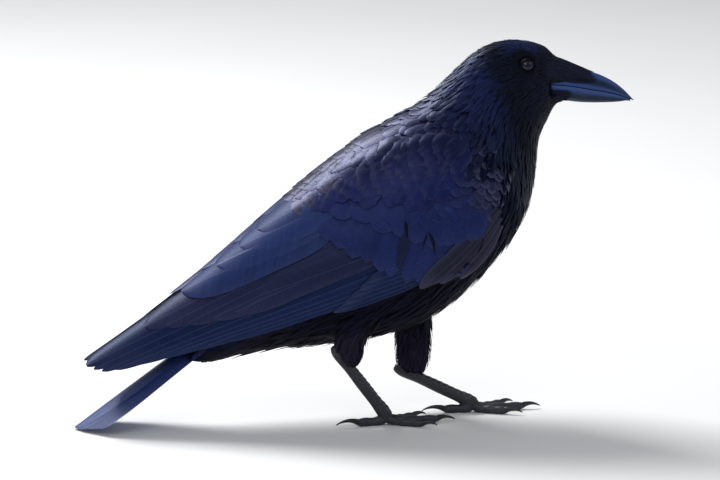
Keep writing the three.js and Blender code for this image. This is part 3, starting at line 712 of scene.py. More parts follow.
class Skin:
    """The skin and, at each of its vertices, how the coat lies on it."""

    def __init__(self):
        self.object = remeshed("skin", joined_flesh(), SKIN_VOXEL)
        self.shape()
        self.measure()
        self.comb_body()
        self.comb_wings()
        self.comb_thighs()
        self.comb_face()
        self.flow = unit(self.flow - self.normals * (self.flow * self.normals).sum(1, keepdims=True))
        finished(self.object, "plumage", materials["skin"], *SKIN_NODES)
        paint(self.object, "tint", with_alpha(self.tint * SKIN_SHADE))

    def shape(self):
        """Sinks the skin in by the depth of the coat, with the forms of the head on it."""
        mesh = self.object.data
        points = smoothed(mesh, points_of(mesh), 5)
        set_points(mesh, points)
        normals = at_vertices(mesh, "normal")
        for (x, y, z), size, push in FORMS:
            for side in (RIGHT, LEFT):
                gap = np.linalg.norm(points - [x, side * y, z], axis=1)
                points = points + normals * (push * np.exp(-((gap / size) ** 2)))[:, None]
        place, _ = body_places(points)
        depth = mix(coat_depth(place), 1.0, thighs(points)[0])
        tree = tree_of(mesh, points)
        thickness = np.array([inward(tree, p, n) for p, n in zip(points, normals)])
        points = points - normals * np.minimum(depth + CLOSING, thickness * THINNEST)[:, None]
        set_points(mesh, onto_bill(smoothed(mesh, points, 1)))

    def measure(self):
        mesh = self.object.data
        self.points = points_of(mesh)
        self.normals = at_vertices(mesh, "normal")
        corners = [polygon.vertices[:] for polygon in mesh.polygons]
        self.quads = np.array([c if len(c) == 4 else (*c, c[-1]) for c in corners])
        self.tree = tree_of(mesh, self.points)

    def comb_body(self):
        """Sets the direction, size and colour of the feathers from the body's sections."""
        place, up = self.place, self.up = body_places(self.points)
        rise = ramp(up, 0.3, 0.75)
        self.length = mix(lower_length(place), upper_length(place), rise)
        self.width = mix(lower_width(place), upper_width(place), rise)
        self.pointed = mix(lower_point(place), upper_point(place), rise)
        self.lift = coat_depth(place) * mix(0.8, 1.05, ramp(place, 4, 6.5))
        # painted highlight: paler rims on the upper side of the back, where the light falls from above
        self.fringe = ramp(place, 6.2, 8) * ramp(up, 0.55, 0.95) * 0.34 * (1 - ramp(place, 12, 14))
        lower, upper = (
            np.stack([channel(place) for channel in colour], 1) for colour in (lower_colour, upper_colour)
        )
        self.tint = mix(lower, upper, rise[:, None])
        self.flow = body_flow(place, up)

    def comb_wings(self):
        """Marks the wing's covert panel, and turns the feathers beside it along the wing."""
        t, p, deep = wing_place(self.points)
        self.t, self.p = t, p
        low, top = wing_low(t), panel_top(t)
        inside = (t > PANEL["front"]) & (t < PANEL["rear"])
        self.panel = inside & (p > low) & (p < top) & (deep < PANEL_DEPTH)
        self.panel_rim = inside & (p > low) & (p < top + 12) & (deep < 9)
        self.hidden = inside & (p > low + 14) & (p < top - 2) & (deep >= PANEL_DEPTH)
        scapular = ramp(p, top - 10, top) * (1 - ramp(p, top + 14, top + 24))
        scapular *= ramp(t, -4, 22) * (1 - ramp(t, 132, 150)) * ramp(6 - deep, 0, 3)
        self.lift = self.lift * mix(1, 0.75, ramp(self.place, 7, 8) * ramp(self.up, 0.8, 0.95))
        # the scapulars' rims get a painted highlight too
        self.blend(scapular, length=34, width=18, pointed=0.0, lift=3.2, fringe=0.12)
        self.flow = mix(self.flow, wing_flow(t, p), (scapular * 0.75)[:, None])
        self.flow[self.panel] = wing_flow(t, p)[self.panel]
        self.tint[self.panel] = linear("covert")

    def comb_thighs(self):
        self.thigh, down_leg = thighs(self.points)
        self.flow = mix(self.flow, down_leg, self.thigh[:, None])
        self.blend(self.thigh, "thigh", length=12, width=2.4, pointed=1.0, lift=2.3)

    def comb_face(self):
        """Sets small feathers round the eye, pointing away from it, and a dark face."""
        points = self.points
        from_eye = points - EYE * [1, 0, 1]
        from_eye[:, 1] = np.abs(points[:, 1]) - EYE[1]
        self.near_eye = gap = np.linalg.norm(from_eye, axis=1)
        ring = 1 - ramp(gap, 8, 13)
        self.blend(ring, length=2.6, width=0.8, pointed=0.8, lift=0.7)
        cheek, lores = (np.linalg.norm(points[:, [0, 2]] - middle, axis=1) for middle in (CHEEK, LORES))
        self.blend((1 - ramp(cheek, 8, 20)) * (self.place < CHEEK_END), "cheek")
        self.blend(np.maximum(1 - ramp(gap, 8.5, 13), 1 - ramp(lores, 6, 12)), "cheek")
        from_eye[:, 1] *= np.sign(points[:, 1])
        self.flow = unit(self.flow) + unit(from_eye) * (ring * 0.9)[:, None]

    def blend(self, weight, colour=None, **measures):
        """Leads the feathers' measures and colour towards others, by a weight for each."""
        for name, value in measures.items():
            setattr(self, name, mix(getattr(self, name), value, weight))
        if colour:
            self.tint = mix(self.tint, linear(colour), weight[:, None])

    def nearest(self, points):
        """The skin's points, normals and vertex numbers nearest to the given points."""
        found = [self.tree.find_nearest(p) for p in points]
        places = np.array([f[0] for f in found])
        vertex = self.quads[[f[2] for f in found], 0]
        normals = unit(self.normals[vertex] + np.array([f[1] for f in found]))
        return places, normals, vertex


def tree_of(mesh, points):
    polygons = [polygon.vertices[:] for polygon in mesh.polygons]
    return BVHTree.FromPolygons(points.tolist(), polygons)


def inward(tree, point, normal):
    """How far it is through the body from a point of its surface."""
    start = Vector(point - normal * 0.05)
    hit = tree.ray_cast(start, Vector(-normal), LONGEST_RAY)
    return LONGEST_RAY if hit[3] is None else hit[3]


def point_tree(points):
    tree = kdtree.KDTree(len(points))
    for number, point in enumerate(points):
        tree.insert(point, number)
    tree.balance()
    return tree


def body_grid():
    """Points [x, z] over the body's side view, with the section and height of each."""
    place = np.linspace(0, len(BODY) - 1, GRID_ALONG + 1)[:, None]
    up = np.linspace(0, 1, GRID_UP + 1)[None, :]
    x = mix(bottom_x(place), top_x(place), up)
    z = mix(bottom_z(place), top_z(place), up)
    flow = np.stack([np.gradient(x, axis=0), np.zeros_like(x), np.gradient(z, axis=0)], -1)
    tree = point_tree([(a, 0, b) for a, b in zip(x.ravel(), z.ravel())])
    place, up = np.broadcast_arrays(place, up)
    return tree, place.ravel(), up.ravel(), unit(flow)


grid_tree, grid_place, grid_up, grid_flow = body_grid()


def body_places(points):
    """The section of the body that each point lies in, and the height up it."""
    index = np.array([grid_tree.find((x, 0, z))[1] for x, _, z in points])
    return grid_place[index], grid_up[index]


def body_flow(place, up):
    i = np.round(place / (len(BODY) - 1) * GRID_ALONG).astype(int)
    j = np.round(up * GRID_UP).astype(int)
    return grid_flow[i, j]


def wing_flow(t, p):
    """The lie of the wing coverts: steep in front, flatter along the scapulars."""
    angle = np.radians(mix(-46, -6, ramp(p, 20, 48)))
    angle = mix(angle, np.radians(-22), ramp(wing_low(t) + 14 - p, 0, 10))
    return np.cos(angle)[:, None] * WING_ALONG + np.sin(angle)[:, None] * WING_ACROSS


def along_shin(leg, points):
    """The shin's direction beside each point, how far off its middle line lies, how far
    along that is and where."""
    stations = np.array(leg["shin"], float) * [1, leg["side"], 1]
    f = np.linspace(0, 1, SHIN_STEPS)
    path = np.stack([read(f) for read in columns_of(stations, [0, 0.5, 1])], -1)
    gaps = np.linalg.norm(points[:, None] - path[None], axis=2)
    nearest = gaps.argmin(1)
    direction = unit(np.gradient(path, axis=0))
    return direction[nearest], gaps.min(1), f[nearest], path[nearest]


def thighs(points):
    """How much each point belongs to a feathered shin, and which way that runs."""
    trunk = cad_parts["trunk"].data
    tree = tree_of(trunk, points_of(trunk))
    off_trunk = ramp(np.array([tree.find_nearest(point)[3] for point in points]), 2.5, 7)
    weight, down = np.zeros(len(points)), np.zeros((len(points), 3))
    for leg in LEGS:
        direction, gap, *_ = along_shin(leg, points)
        near = (1 - ramp(gap, 17, 24)) * off_trunk
        weight = np.maximum(weight, near)
        down[near > 0] = direction[near > 0]
    return weight, down


skin = Skin()

# -------- vanes

TUFT_PATCH = 0.003  # the size on a map of a small feather's place
STRIP_GAP, STRIP_END = 0.08, 0.02  # the margins round a large feather's strip of a map


def vane_faces(rows, columns):
    """Faces of one closed vane, and which of its vertices lie on the rim. The upper
    sheet has every vertex, and the lower one shares those on the rim."""
    upper = np.arange(rows * columns).reshape(rows, columns)
    lower = upper.copy()
    inner = (rows - 2) * (columns - 2)
    lower[1:-1, 1:-1] = rows * columns + np.arange(inner).reshape(rows - 2, columns - 2)
    faces = []
    for sheet, order in ((upper, [0, 1, 2, 3]), (lower, [3, 2, 1, 0])):
        corners = [sheet[:-1, :-1], sheet[1:, :-1], sheet[1:, 1:], sheet[:-1, 1:]]
        faces.append(np.stack(corners, -1).reshape(-1, 4)[:, order])
    on_rim = np.ones((rows, columns), bool)
    on_rim[1:-1, 1:-1] = False
    return np.concatenate(faces), np.concatenate([on_rim.ravel(), np.zeros(inner, bool)])


def small_patch(chart):
    """The places on a map of small feathers, centred where a chart has them."""
    return chart - TUFT_PATCH / 2, (TUFT_PATCH, TUFT_PATCH)


def strip(number, count):
    """The place on a map of one of a few large feathers."""
    corner = np.array([[(number + STRIP_GAP) / count, STRIP_END]])
    return corner, ((1 - 2 * STRIP_GAP) / count, 1 - 2 * STRIP_END)


class Vanes:
    """Many feathers gathered into one mesh."""

    def __init__(self):
        self.parts = {key: [] for key in ("points", "faces", "on_rim", "vane", "rim", "tint", "uv")}
        self.count = 0

    def add(self, upper, lower, flip, across, along, half, fringe, shaft, tint, patch):
        """Adds feathers whose sheets are grids [feather, row, column] of points. across
        has a number from -1 to 1 for each column, and along one from 0 to 1 for each row.
        patch gives the corner and the size of each one's place on the map."""
        feathers, rows, columns = grid = upper.shape[:3]
        across, along = across[None, None], along[None, :, None]
        faces, on_rim = vane_faces(rows, columns)
        if flip:
            faces = faces[:, ::-1]
        length = np.linalg.norm(np.diff(upper[:, :, columns // 2], axis=1), axis=2).sum(1)
        own = rng.random(feathers) * 50
        edge = np.maximum(np.abs(across), ramp(along, 0.55, 1.0))
        corner, size = patch
        u = corner[:, 0, None, None] + size[0] * (across * 0.5 + 0.5)
        v = corner[:, 1, None, None] + size[1] * along
        fields = {
            "vane": (across * half, along * length[:, None, None], own[:, None, None]),
            "rim": (edge, np.reshape(fringe, (-1, 1, 1)), shaft),
            "uv": (u, v),
        }
        for key, parts in fields.items():
            values = np.stack([np.broadcast_to(part, grid) for part in parts], -1)
            self.parts[key].append(self.both(values, values))
        colours = np.broadcast_to(tint[:, None, None] if tint.ndim == 2 else tint, (*grid, 3))
        self.parts["tint"].append(self.both(colours, colours))
        self.parts["points"].append(self.both(upper, lower))
        starts = self.count + np.arange(feathers)[:, None, None] * len(on_rim)
        self.parts["faces"].append((faces[None] + starts).reshape(-1, 4))
        self.parts["on_rim"].append(np.tile(on_rim, feathers))
        self.count += feathers * len(on_rim)

    @staticmethod
    def both(upper, lower):
        """A list of the values on every vertex of the two sheets."""
        feathers, size = upper.shape[0], upper.shape[-1]
        sheets = [values.reshape(feathers, -1, size) for values in (upper, lower[:, 1:-1, 1:-1])]
        return np.concatenate(sheets, 1).reshape(-1, size)

    def make(self, name, slot, material, *replaced):
        parts = {key: np.concatenate(values) for key, values in self.parts.items()}
        made = mesh_object(name, parts["points"], parts["faces"].tolist())
        paint(made, "vane", parts["vane"])
        paint(made, "rim", parts["rim"])
        paint(made, "tint", with_alpha(parts["tint"]))
        sharp = made.data.attributes.new("sharp_edge", "BOOLEAN", "EDGE")
        sharp.data.foreach_set("value", parts["on_rim"][edge_ends(made.data)].all(1))
        layer = made.data.uv_layers.new(name="OFBake")
        corners = parts["uv"][parts["faces"].ravel()].astype(np.float32)
        layer.uv.foreach_set("vector", corners.ravel())
        finished(made, slot, materials[material], *replaced)


def outline(along, pointed, base=0.34):
    """A feather's half width along it, as a share: round-ended, or tapering to a point."""
    opening = mix(base, 1, ramp(along, 0, 0.34))
    rounded = np.sqrt(np.maximum(0.006, 1 - np.clip((along - 0.7) / 0.3, 0, 1) ** 2))
    tapered = 1 - 0.93 * np.clip((along - 0.3) / 0.7, 0, 1) ** 1.25
    return opening * mix(rounded, tapered, pointed)


# -------- the coat

CLASSES = [(6.2, 5, 3), (15, 7, 3), (22.5, 10, 5), (99, 13, 5)]  # longest, rows, columns
TRIES = 5  # how many times over the roots are drawn before those too close are dropped
OVERLAP = 0.72  # the gap between roots, as a share of the size that a feather shows
SHOWN_LENGTH, SHOWN_WIDTH = 0.36, 0.56
TIP_ROWS = 1.2  # how much closer the rows stand towards a feather's tip
STEADY = 0.45  # how far a feather keeps the direction that it starts in
RAGGED = 0.22  # how deep the rim of a small feather may be cut, as a share
CHART_MARGIN = 0.01
BILL_MARGIN = 0.8  # how deep in the bill the skin is bare


def scatter(keep, spacing):
    """Roots over the skin, as its vertex numbers and points, no closer than the spacing."""
    corners = skin.points[skin.quads]
    first = np.cross(corners[:, 1] - corners[:, 0], corners[:, 2] - corners[:, 0])
    second = np.cross(corners[:, 2] - corners[:, 0], corners[:, 3] - corners[:, 0])
    area = (np.linalg.norm(first, axis=1) + np.linalg.norm(second, axis=1)) / 2
    near = spacing[skin.quads[:, 0]]
    tries = np.where(keep[skin.quads[:, 0]], area / near**2 * TRIES, 0)
    face = np.repeat(np.arange(len(tries)), rng.poisson(tries))
    face = face[rng.permutation(len(face))]
    a, b = rng.random((2, len(face), 1))
    corner = corners[face]
    points = mix(mix(corner[:, 0], corner[:, 1], a), mix(corner[:, 3], corner[:, 2], a), b)
    tree = point_tree(points)
    free = np.ones(len(points), bool)
    chosen = []
    for i, gap in enumerate(near[face]):
        if free[i]:
            chosen.append(i)
            free[[found[1] for found in tree.find_range(points[i], gap)]] = False
    return skin.quads[face[chosen], 0], points[chosen]


def lay(roots, turn, length, lift, rows):
    """Middle lines that run over the skin from the roots, with the skin's normals."""
    share = 1 - (1 - np.linspace(0, 1, rows)) ** TIP_ROWS
    places, normals, vertex = skin.nearest(roots)
    line, up = [], []
    for k in range(rows):
        if k:
            step = (share[k] - share[k - 1]) * length[:, None]
            places, normals, vertex = skin.nearest(places + heading * step)
        flow = skin.flow[vertex]
        aside = np.cross(normals, flow)
        heading = flow * np.cos(turn)[:, None] + aside * np.sin(turn)[:, None]
        if k == 0:
            start = heading
        heading = unit(STEADY * start + (1 - STEADY) * heading)
        rise = mix(-0.5, 1, share[k] ** 0.75) * lift
        line.append(places + normals * rise[:, None])
        up.append(normals)
    return np.stack(line, 1), np.stack(up, 1), share


def add_tufts(vanes, roots, vertex, chart):
    """Adds a feather at each root, sized by the skin there, to the gathered vanes."""
    length = skin.length[vertex] * rng.uniform(0.82, 1.15, len(vertex))
    width = skin.width[vertex] * rng.uniform(0.85, 1.12, len(vertex))
    lift = skin.lift[vertex] * rng.uniform(0.7, 1.2, len(vertex))
    pointed = np.clip(skin.pointed[vertex] + rng.uniform(-0.1, 0.1, len(vertex)), 0, 1)
    turn = rng.normal(0, mix(0.07, 0.14, pointed))
    shade = rng.uniform(0.82, 1.2, (len(vertex), 1))
    shortest = 0
    for longest, rows, columns in CLASSES:
        pick = (length > shortest) & (length <= longest)
        shortest = longest
        if not pick.any():
            continue
        line, up, share = lay(roots[pick], turn[pick], length[pick], lift[pick], rows)
        aside = unit(np.cross(up, unit(np.gradient(line, axis=1))))
        line, up, aside = (values[:, :, None] for values in (line, up, aside))
        c = np.linspace(-1, 1, columns)
        form = outline(share[None], pointed[pick][:, None])
        form = form[..., None] * np.ones(columns)
        ragged = rng.uniform(0, 1, form.shape) * ramp(share, 0.3, 0.8)[None, :, None]
        form = form * (1 - RAGGED * ragged * np.abs(c) ** 3)
        wide = width[pick][:, None, None]
        half = wide / 2 * form
        bow = 0.16 * wide * (1 - 0.6 * share[None, :, None])
        drop = -bow * form * c**2
        upper = line + aside * (half * c)[..., None] + up * drop[..., None]
        thick = 0.14 + 0.012 * wide * np.ones_like(form)
        fringe = skin.fringe[vertex[pick]] * rng.uniform(0.3, 1.3, pick.sum())
        tint = skin.tint[vertex[pick]] * shade[pick]
        shaft = 0.4 * (columns > 3)
        lower = upper - up * thick[..., None]
        vanes.add(upper, lower, False, c, share, half, fringe, shaft, tint, small_patch(chart[pick]))


def rolled_out(turn, along):
    """A place on a map, from the angle round a limb or the body and the share along it."""
    chart = np.stack([turn / (2 * math.pi) + 0.5, along], 1)
    return chart * (1 - 2 * CHART_MARGIN) + CHART_MARGIN


def body_chart(points, vertex):
    turn = np.arctan2(points[:, 1] / body_half(skin.place[vertex]), skin.up[vertex] * 2 - 1)
    return rolled_out(turn, skin.place[vertex] / (len(BODY) - 1))


def shin_chart(points, leg):
    _, _, run, middle = along_shin(leg, points)
    return rolled_out(np.arctan2(points[:, 1] - middle[:, 1], points[:, 0] - middle[:, 0]), run)


def in_bill(points):
    """Whether points lie well inside the bill."""
    x, y, z = points.T
    inside = ((x > FACE_END) | (at_gape(points) > 0.5)) & (np.abs(y) < bill_half(x) - BILL_MARGIN)
    return inside & (z < bill_culmen(x) - BILL_MARGIN) & (z > bill_keel(x) + BILL_MARGIN)


def make_coat():
    """The feathers of the head, body and shins, with bare places for the wings, the
    bill and the eyes."""
    spacing = OVERLAP * np.sqrt(SHOWN_LENGTH * skin.length * SHOWN_WIDTH * skin.width)
    bare = in_bill(skin.points) | (skin.near_eye < EYE_RADIUS - 0.3)
    vertex, roots = scatter(~(skin.panel | skin.hidden | bare), spacing)
    place, upper, thigh = skin.place[vertex], skin.up[vertex] > 0.5, skin.thigh[vertex] > 0.5
    right = roots[:, 1] < 0
    head, trunk = place < HEAD_END, place >= NECK_END
    parts = {
        "head_right": ("coat", head & right),
        "head_left": ("coat", head & ~right),
        "neck": ("coat", ~head & ~trunk),
        "back": ("mantle", trunk & upper & (place < BACK_END)),
        "breast": ("soft", trunk & ~upper & (place < BREAST_END)),
        "belly": ("soft", (place >= BELLY_START) & ~upper & (place < BACK_END)),
        "rump": ("soft", place >= BACK_END),
    }
    for name, (material, pick) in parts.items():
        pick = pick & ~thigh
        vanes = Vanes()
        add_tufts(vanes, roots[pick], vertex[pick], body_chart(roots[pick], vertex[pick]))
        vanes.make(f"coat_{name}", "plumage", material)
    for leg in LEGS:
        pick = thigh & (roots[:, 1] * leg["side"] > 0)
        vanes = Vanes()
        add_tufts(vanes, roots[pick], vertex[pick], shin_chart(roots[pick], leg))
        vanes.make(f"coat_shin_{SIDE_NAMES[leg['side']]}", "shin_feathers", "soft")


make_coat()

# -------- wings

# How a feather on the wing is made where its row doesn't say otherwise.
FEATHER = {
    "pointed": 0.0,
    "base": 0.45,  # width at the root, as a share
    "ragged": 0.06,
    "lead": 0.5,  # the lower vane's share of the width
    "bow": 0,
    "curl": 0,
    "rise": 0.6,  # the share of its length by which it lies as deep as its tip
    "camber": 0.5,
    "thick": 0.34,
    "shade": 1,
    "worn": 0,
    "fringe": 0.15,
    "shaft": 1.0,
    "toward": ("worn", 0),  # a colour that it leans to, and how much
}
LARGE_ROWS, LARGE_COLUMNS = 30, 9
LARGE_TIP_ROWS = 1.25
SHAFT_RISE = 0.18  # how high the shaft stands over the vane at its root
JITTER_LIMIT = 1.4
COVERT_SPACING, COVERT_REACH = 4.2, 60  # the lesser coverts: their gap, and how far back they go


def wing_chart(t, p):
    return np.stack([(t + 15) / 345, (p + 45) / 130], -1)


def large_share(rows):
    """Shares along a large feather, closer together towards its tip."""
    return 1 - (1 - np.linspace(0, 1, rows)) ** LARGE_TIP_ROWS


def worn_tint(tint, worn, start, share, columns):
    """A feather's colours over its grid, turning to the worn colour near the tip."""
    spread = np.broadcast_to(tint, (len(share), columns, 3))
    return mix(spread, linear("worn"), worn * ramp(share, start, 1)[:, None, None])


def along_wing(vanes, side, feathers, rows, columns):
    """Adds feathers that lie on a folded wing. Each is a dict with its root and tip
    (t, p), width, depth under the wing's surface at root and tip, and its looks."""
    share = large_share(rows)
    c = np.linspace(-1, 1, columns)
    for number, feather in enumerate(feathers):
        feather = FEATHER | feather
        root, tip = np.array(feather["root"], float), np.array(feather["tip"], float)
        run = tip - root
        length = np.linalg.norm(run)
        along, across = run / length, np.array([-run[1], run[0]]) / length
        form = outline(share, feather["pointed"], feather["base"])
        ragged = rng.uniform(0, 1, (rows, columns)) * ramp(share, 0.3, 0.9)[:, None]
        form = form[:, None] * (1 - feather["ragged"] * ragged * np.abs(c) ** 3)
        halves = np.where(c < 0, feather["lead"], 1 - feather["lead"]) * feather["width"]
        offset = c * halves * form + feather["bow"] * (4 * share * (1 - share))[:, None]
        curl = feather["curl"] * (np.abs(c) ** 2 * ramp(share, 0.5, 1)[:, None])
        place = root + along * (share * length)[:, None]
        t, p = (place[:, None, k] + across[k] * offset - along[k] * curl for k in range(2))
        level = mix(*feather["depth"], ramp(share, 0, feather["rise"]))[:, None]
        level = level + feather["camber"] * c**2
        upper, lower, ridge = (
            wing_point(side, t, p, level + under) for under in (0, feather["thick"], -SHAFT_RISE)
        )
        middle = columns // 2
        upper[:, middle] = mix(upper[:, middle], ridge[:, middle], (1 - share * 0.7)[:, None])
        other, lean = feather["toward"]
        tint = mix(linear(feather["colour"]), linear(other), lean) * feather["shade"]
        tint = worn_tint(tint, feather["worn"], 0.75, share, columns)
        vanes.add(
            upper[None], lower[None], side == RIGHT, c, share, halves * form,
            feather["fringe"], feather["shaft"], tint, strip(number, len(feathers)),
        )


def row(count, root, tip, width, depth_root, depth_tip, **looks):
    """A row of feathers whose roots and tips follow two curves of [t, p] points. Where
    looks has "sunk", with two places t, tips in front of them are sunk into the coat."""
    share = np.linspace(0, 1, count)
    roots, tips = (
        np.stack([read(share) for read in columns_of(ends, np.linspace(0, 1, len(ends)))], 1)
        for ends in (root, tip)
    )
    jitter = looks.get("jitter", 0)
    out = []
    for f, start, end in zip(share, roots, tips):
        shade = rng.uniform(0.88, 1.14)
        shift = np.clip(rng.normal(0, 1, 2), -JITTER_LIMIT, JITTER_LIMIT) * jitter
        if "sunk" in looks:
            sunk = 2.4 * (1 - ramp(end[0], *looks["sunk"]))
        else:
            sunk = 0.04 * jitter * rng.uniform(-1, 1)
        feather = {
            "root": start,
            "tip": end + shift,
            "width": mix(*width, f),
            "depth": (mix(*depth_root, f) + sunk, mix(*depth_tip, f) + sunk),
            "shade": shade,
        }
        out.append(feather | looks)
    return out


def lay_on_wing(side, part, feathers, slot, material, node=None, rows=LARGE_ROWS, columns=LARGE_COLUMNS):
    """Makes one piece of a wing from its feathers, which replaces a node if one is given."""
    wing = f"wing_{SIDE_NAMES[side]}"
    vanes = Vanes()
    along_wing(vanes, side, feathers, rows, columns)
    vanes.make(f"{wing}_{part}", slot, material, *([f"{wing}_{node}"] if node else []))


def make_primaries(side):
    primaries = row(
        8,
        [(100, 20), (96, 2), (88, -15), (80, -24)],
        [(313.5, 9.5), (303, 0), (274, -5), (222, -13.5)],
        (18, 9), (5.2, 2.2), (1.4, 3.2), colour="primary", lead=0.42, fringe=0.08, rise=1.0,
    )
    primaries[0].update(width=29, lead=0.26)
    lay_on_wing(side, "long_primaries", primaries, "wing_gloss", "wing", "primaries")


def make_secondaries(side):
    secondaries = row(
        7,
        [(84, 2), (88, 8), (96, 18), (104, 30)],
        [(187, 8), (206, 3.5), (238, 9), (266, 17)],
        (19, 21), (2.4, 3.4), (1.3, 1.3), colour="secondary", lead=0.46, fringe=0.05, rise=0.8,
    )
    lay_on_wing(side, "flight_secondaries", secondaries[::-1], "wing_gloss", "wing", "secondaries")


def make_tertials(side):
    tertials = [
        {"root": (104, 34), "tip": (233, 27.5), "width": 25, "depth": (2.4, 0.2)},
        # painted highlight: this tertial's pale shaft line is six times as strong, as a streak of light along
        # it
        {"root": (108, 41), "tip": (204, 33.5), "width": 23, "depth": (2.0, -0.1), "shade": 1.08, "shaft": 6},
        {"root": (104, 44), "tip": (184, 38.5), "width": 21, "depth": (1.7, -0.3), "shade": 1.14},
        {"root": (108, 50), "tip": (168, 44), "width": 17, "depth": (1.2, -0.5)},
    ]
    for feather in tertials:
        feather.update(colour="tertial", fringe=0.08, rise=0.5)
    lay_on_wing(side, "inner_tertials", tertials, "wing_gloss", "wing", "tertials")


def painted_covert_gap_shade():
    """Dark, narrow vanes that paint the shade in the gaps where coverts have parted."""
    flat = {"pointed": 0.6, "base": 0.1, "camber": 0, "thick": 0.12, "shaft": 0.0, "fringe": 0.0}
    flat |= {"depth": (-0.25, -0.25), "colour": "throat"}
    wide = {"colour": "secondary", "shade": 0.75, "pointed": 0.4}
    gaps = [
        {"root": (75.5, 15), "tip": (79.5, 4), "width": 2.6},
        {"root": (78, 9), "tip": (93.5, -13.5), "width": 7.5} | wide,
        {"root": (64.8, 2), "tip": (67.5, -14.5), "width": 2.2, "bow": -1.4},
        {"root": (65.2, 1.2), "tip": (74, -7.5), "width": 1.1},
    ]
    return [flat | gap for gap in gaps]


def make_coverts(side):
    """Primary coverts, alula and two rows of secondary coverts."""
    coverts = row(
        5, [(62, -20), (72, -31)], [(116, -13), (146, -23.5)], (11, 8), (2.2, 2.6), (0.6, 1.6),
        colour="primary", fringe=0.1, lead=0.4, ragged=0.05,
    )
    coverts += row(
        3, [(14, -8), (17, -20)], [(86, -33), (58, -41)], (13, 10), (1.9, 2.6), (-0.4, 0.6),
        colour="alula", fringe=0.14, worn=0.3, lead=0.4, bow=-2,
    )
    smooth = {"fringe": 0.04, "shaft": 0.12, "ragged": 0.03, "rise": 0.8, "jitter": 1.2, "colour": "covert"}
    coverts += row(
        11,
        [(28, -14), (46, -2), (64, 9), (82, 21), (98, 32), (112, 41)],
        [(60, -36), (78, -33), (94, -24), (106, -9), (119, 8), (130, 26)],
        (18, 20), (2.1, 2.2), (0.4, 0.3), curl=1.2, pointed=0.22, **smooth,
    )
    coverts += row(
        9,
        [(22, 6), (40, 18), (58, 28), (80, 38), (100, 46)],
        [(40, -17), (58, -14), (74, -3), (92, 14), (120, 36)],
        (18, 19), (1.9, 1.9), (0.1, 0.0), pointed=0.1, **smooth,
    )
    # painted shade in gaps between the coverts, on the right wing only
    if side == RIGHT:
        coverts += painted_covert_gap_shade()
    lay_on_wing(side, "greater_coverts", coverts, "wing_gloss", "wing", rows=20)


def make_scapulars(side):
    loose = {"jitter": 2.7, "curl": 0.6, "ragged": 0.24, "thick": 0.2, "shaft": 0.2, "rise": 0.7}
    loose |= {"base": 0.1, "sunk": (34, 66), "colour": "scapular"}
    low_line = np.array([(40, 14), (60, 17), (82, 28), (106, 40), (130, 45)])
    high_line = np.array([(36, 45), (56, 54), (78, 58), (103, 58), (128, 54)])
    scapulars = []
    for f in np.linspace(0, 1, 9):
        tips = mix(low_line, high_line, f)
        roots = tips + [-mix(21, 25, f), mix(17, 3, f)]
        widths = mix(16, 14, f), mix(15, 12, f)
        scapulars += row(
            12, roots, tips, widths, (3.2, 2.4), (-0.1 - 0.5 * f, -0.1 - 0.3 * f),
            toward=("mantle", ramp(f, 0.2, 1)),
            pointed=rng.uniform(0.1, 0.26),
            # painted highlight: paler rims towards the upper rows, where the light falls from above
            fringe=0.04 + 0.16 * f,
            camber=mix(0.2, 1.7, ramp(f, 0.7, 1)),
            **loose,
        )
    lay_on_wing(side, "scapulars", scapulars, "plumage", "mantle", rows=16, columns=7)


def make_lesser_coverts(side):
    """Small scale-like feathers over the front of the wing."""
    zone = skin.panel | (skin.panel_rim & (skin.t < 40))
    front = (skin.t < COVERT_REACH) & (skin.p > wing_low(skin.t) + 2) & (skin.points[:, 1] * side > 0)
    vertex, roots = scatter(zone & front, np.full(len(skin.points), COVERT_SPACING))
    t = skin.t[vertex]
    size = ramp(t, -5, 45)
    skin.length[vertex] = mix(10, 17, size)
    skin.width[vertex] = mix(7.5, 13, size)
    skin.pointed[vertex] = 0.1
    skin.lift[vertex] = mix(1.7, 2.3, size)
    # painted glints: pale rims at the front of the wing, fading back along it
    skin.fringe[vertex] = mix(0.3, 0.04, ramp(t, 0, 26))
    skin.tint[vertex] = mix(linear("shoulder"), linear("covert"), ramp(t, 8, 34)[:, None])
    vanes = Vanes()
    add_tufts(vanes, roots, vertex, wing_chart(t, skin.p[vertex]))
    vanes.make(f"wing_{SIDE_NAMES[side]}_lesser_coverts", "wing_gloss", "wing")


# The long feathers over the line where the wings meet: where each starts, its length,
# its place beside the midline, half its width and its colour. The short ones in front
# of them stand in rows.
RIDGE = [
    (186, 56, 0, 5, "secondary"),
    (156, 60, 0, 7, "tertial"),
    (130, 58, 0, 9, "tertial"),
    (108, 52, 0, 10, "tertial"),
]
RIDGE_STARTS = np.arange(119, 58, -5.0)
RIDGE_PLACES = (-24, -14.5, -5, 5, 14.5, 24)
RIDGE_HALF = 7.5


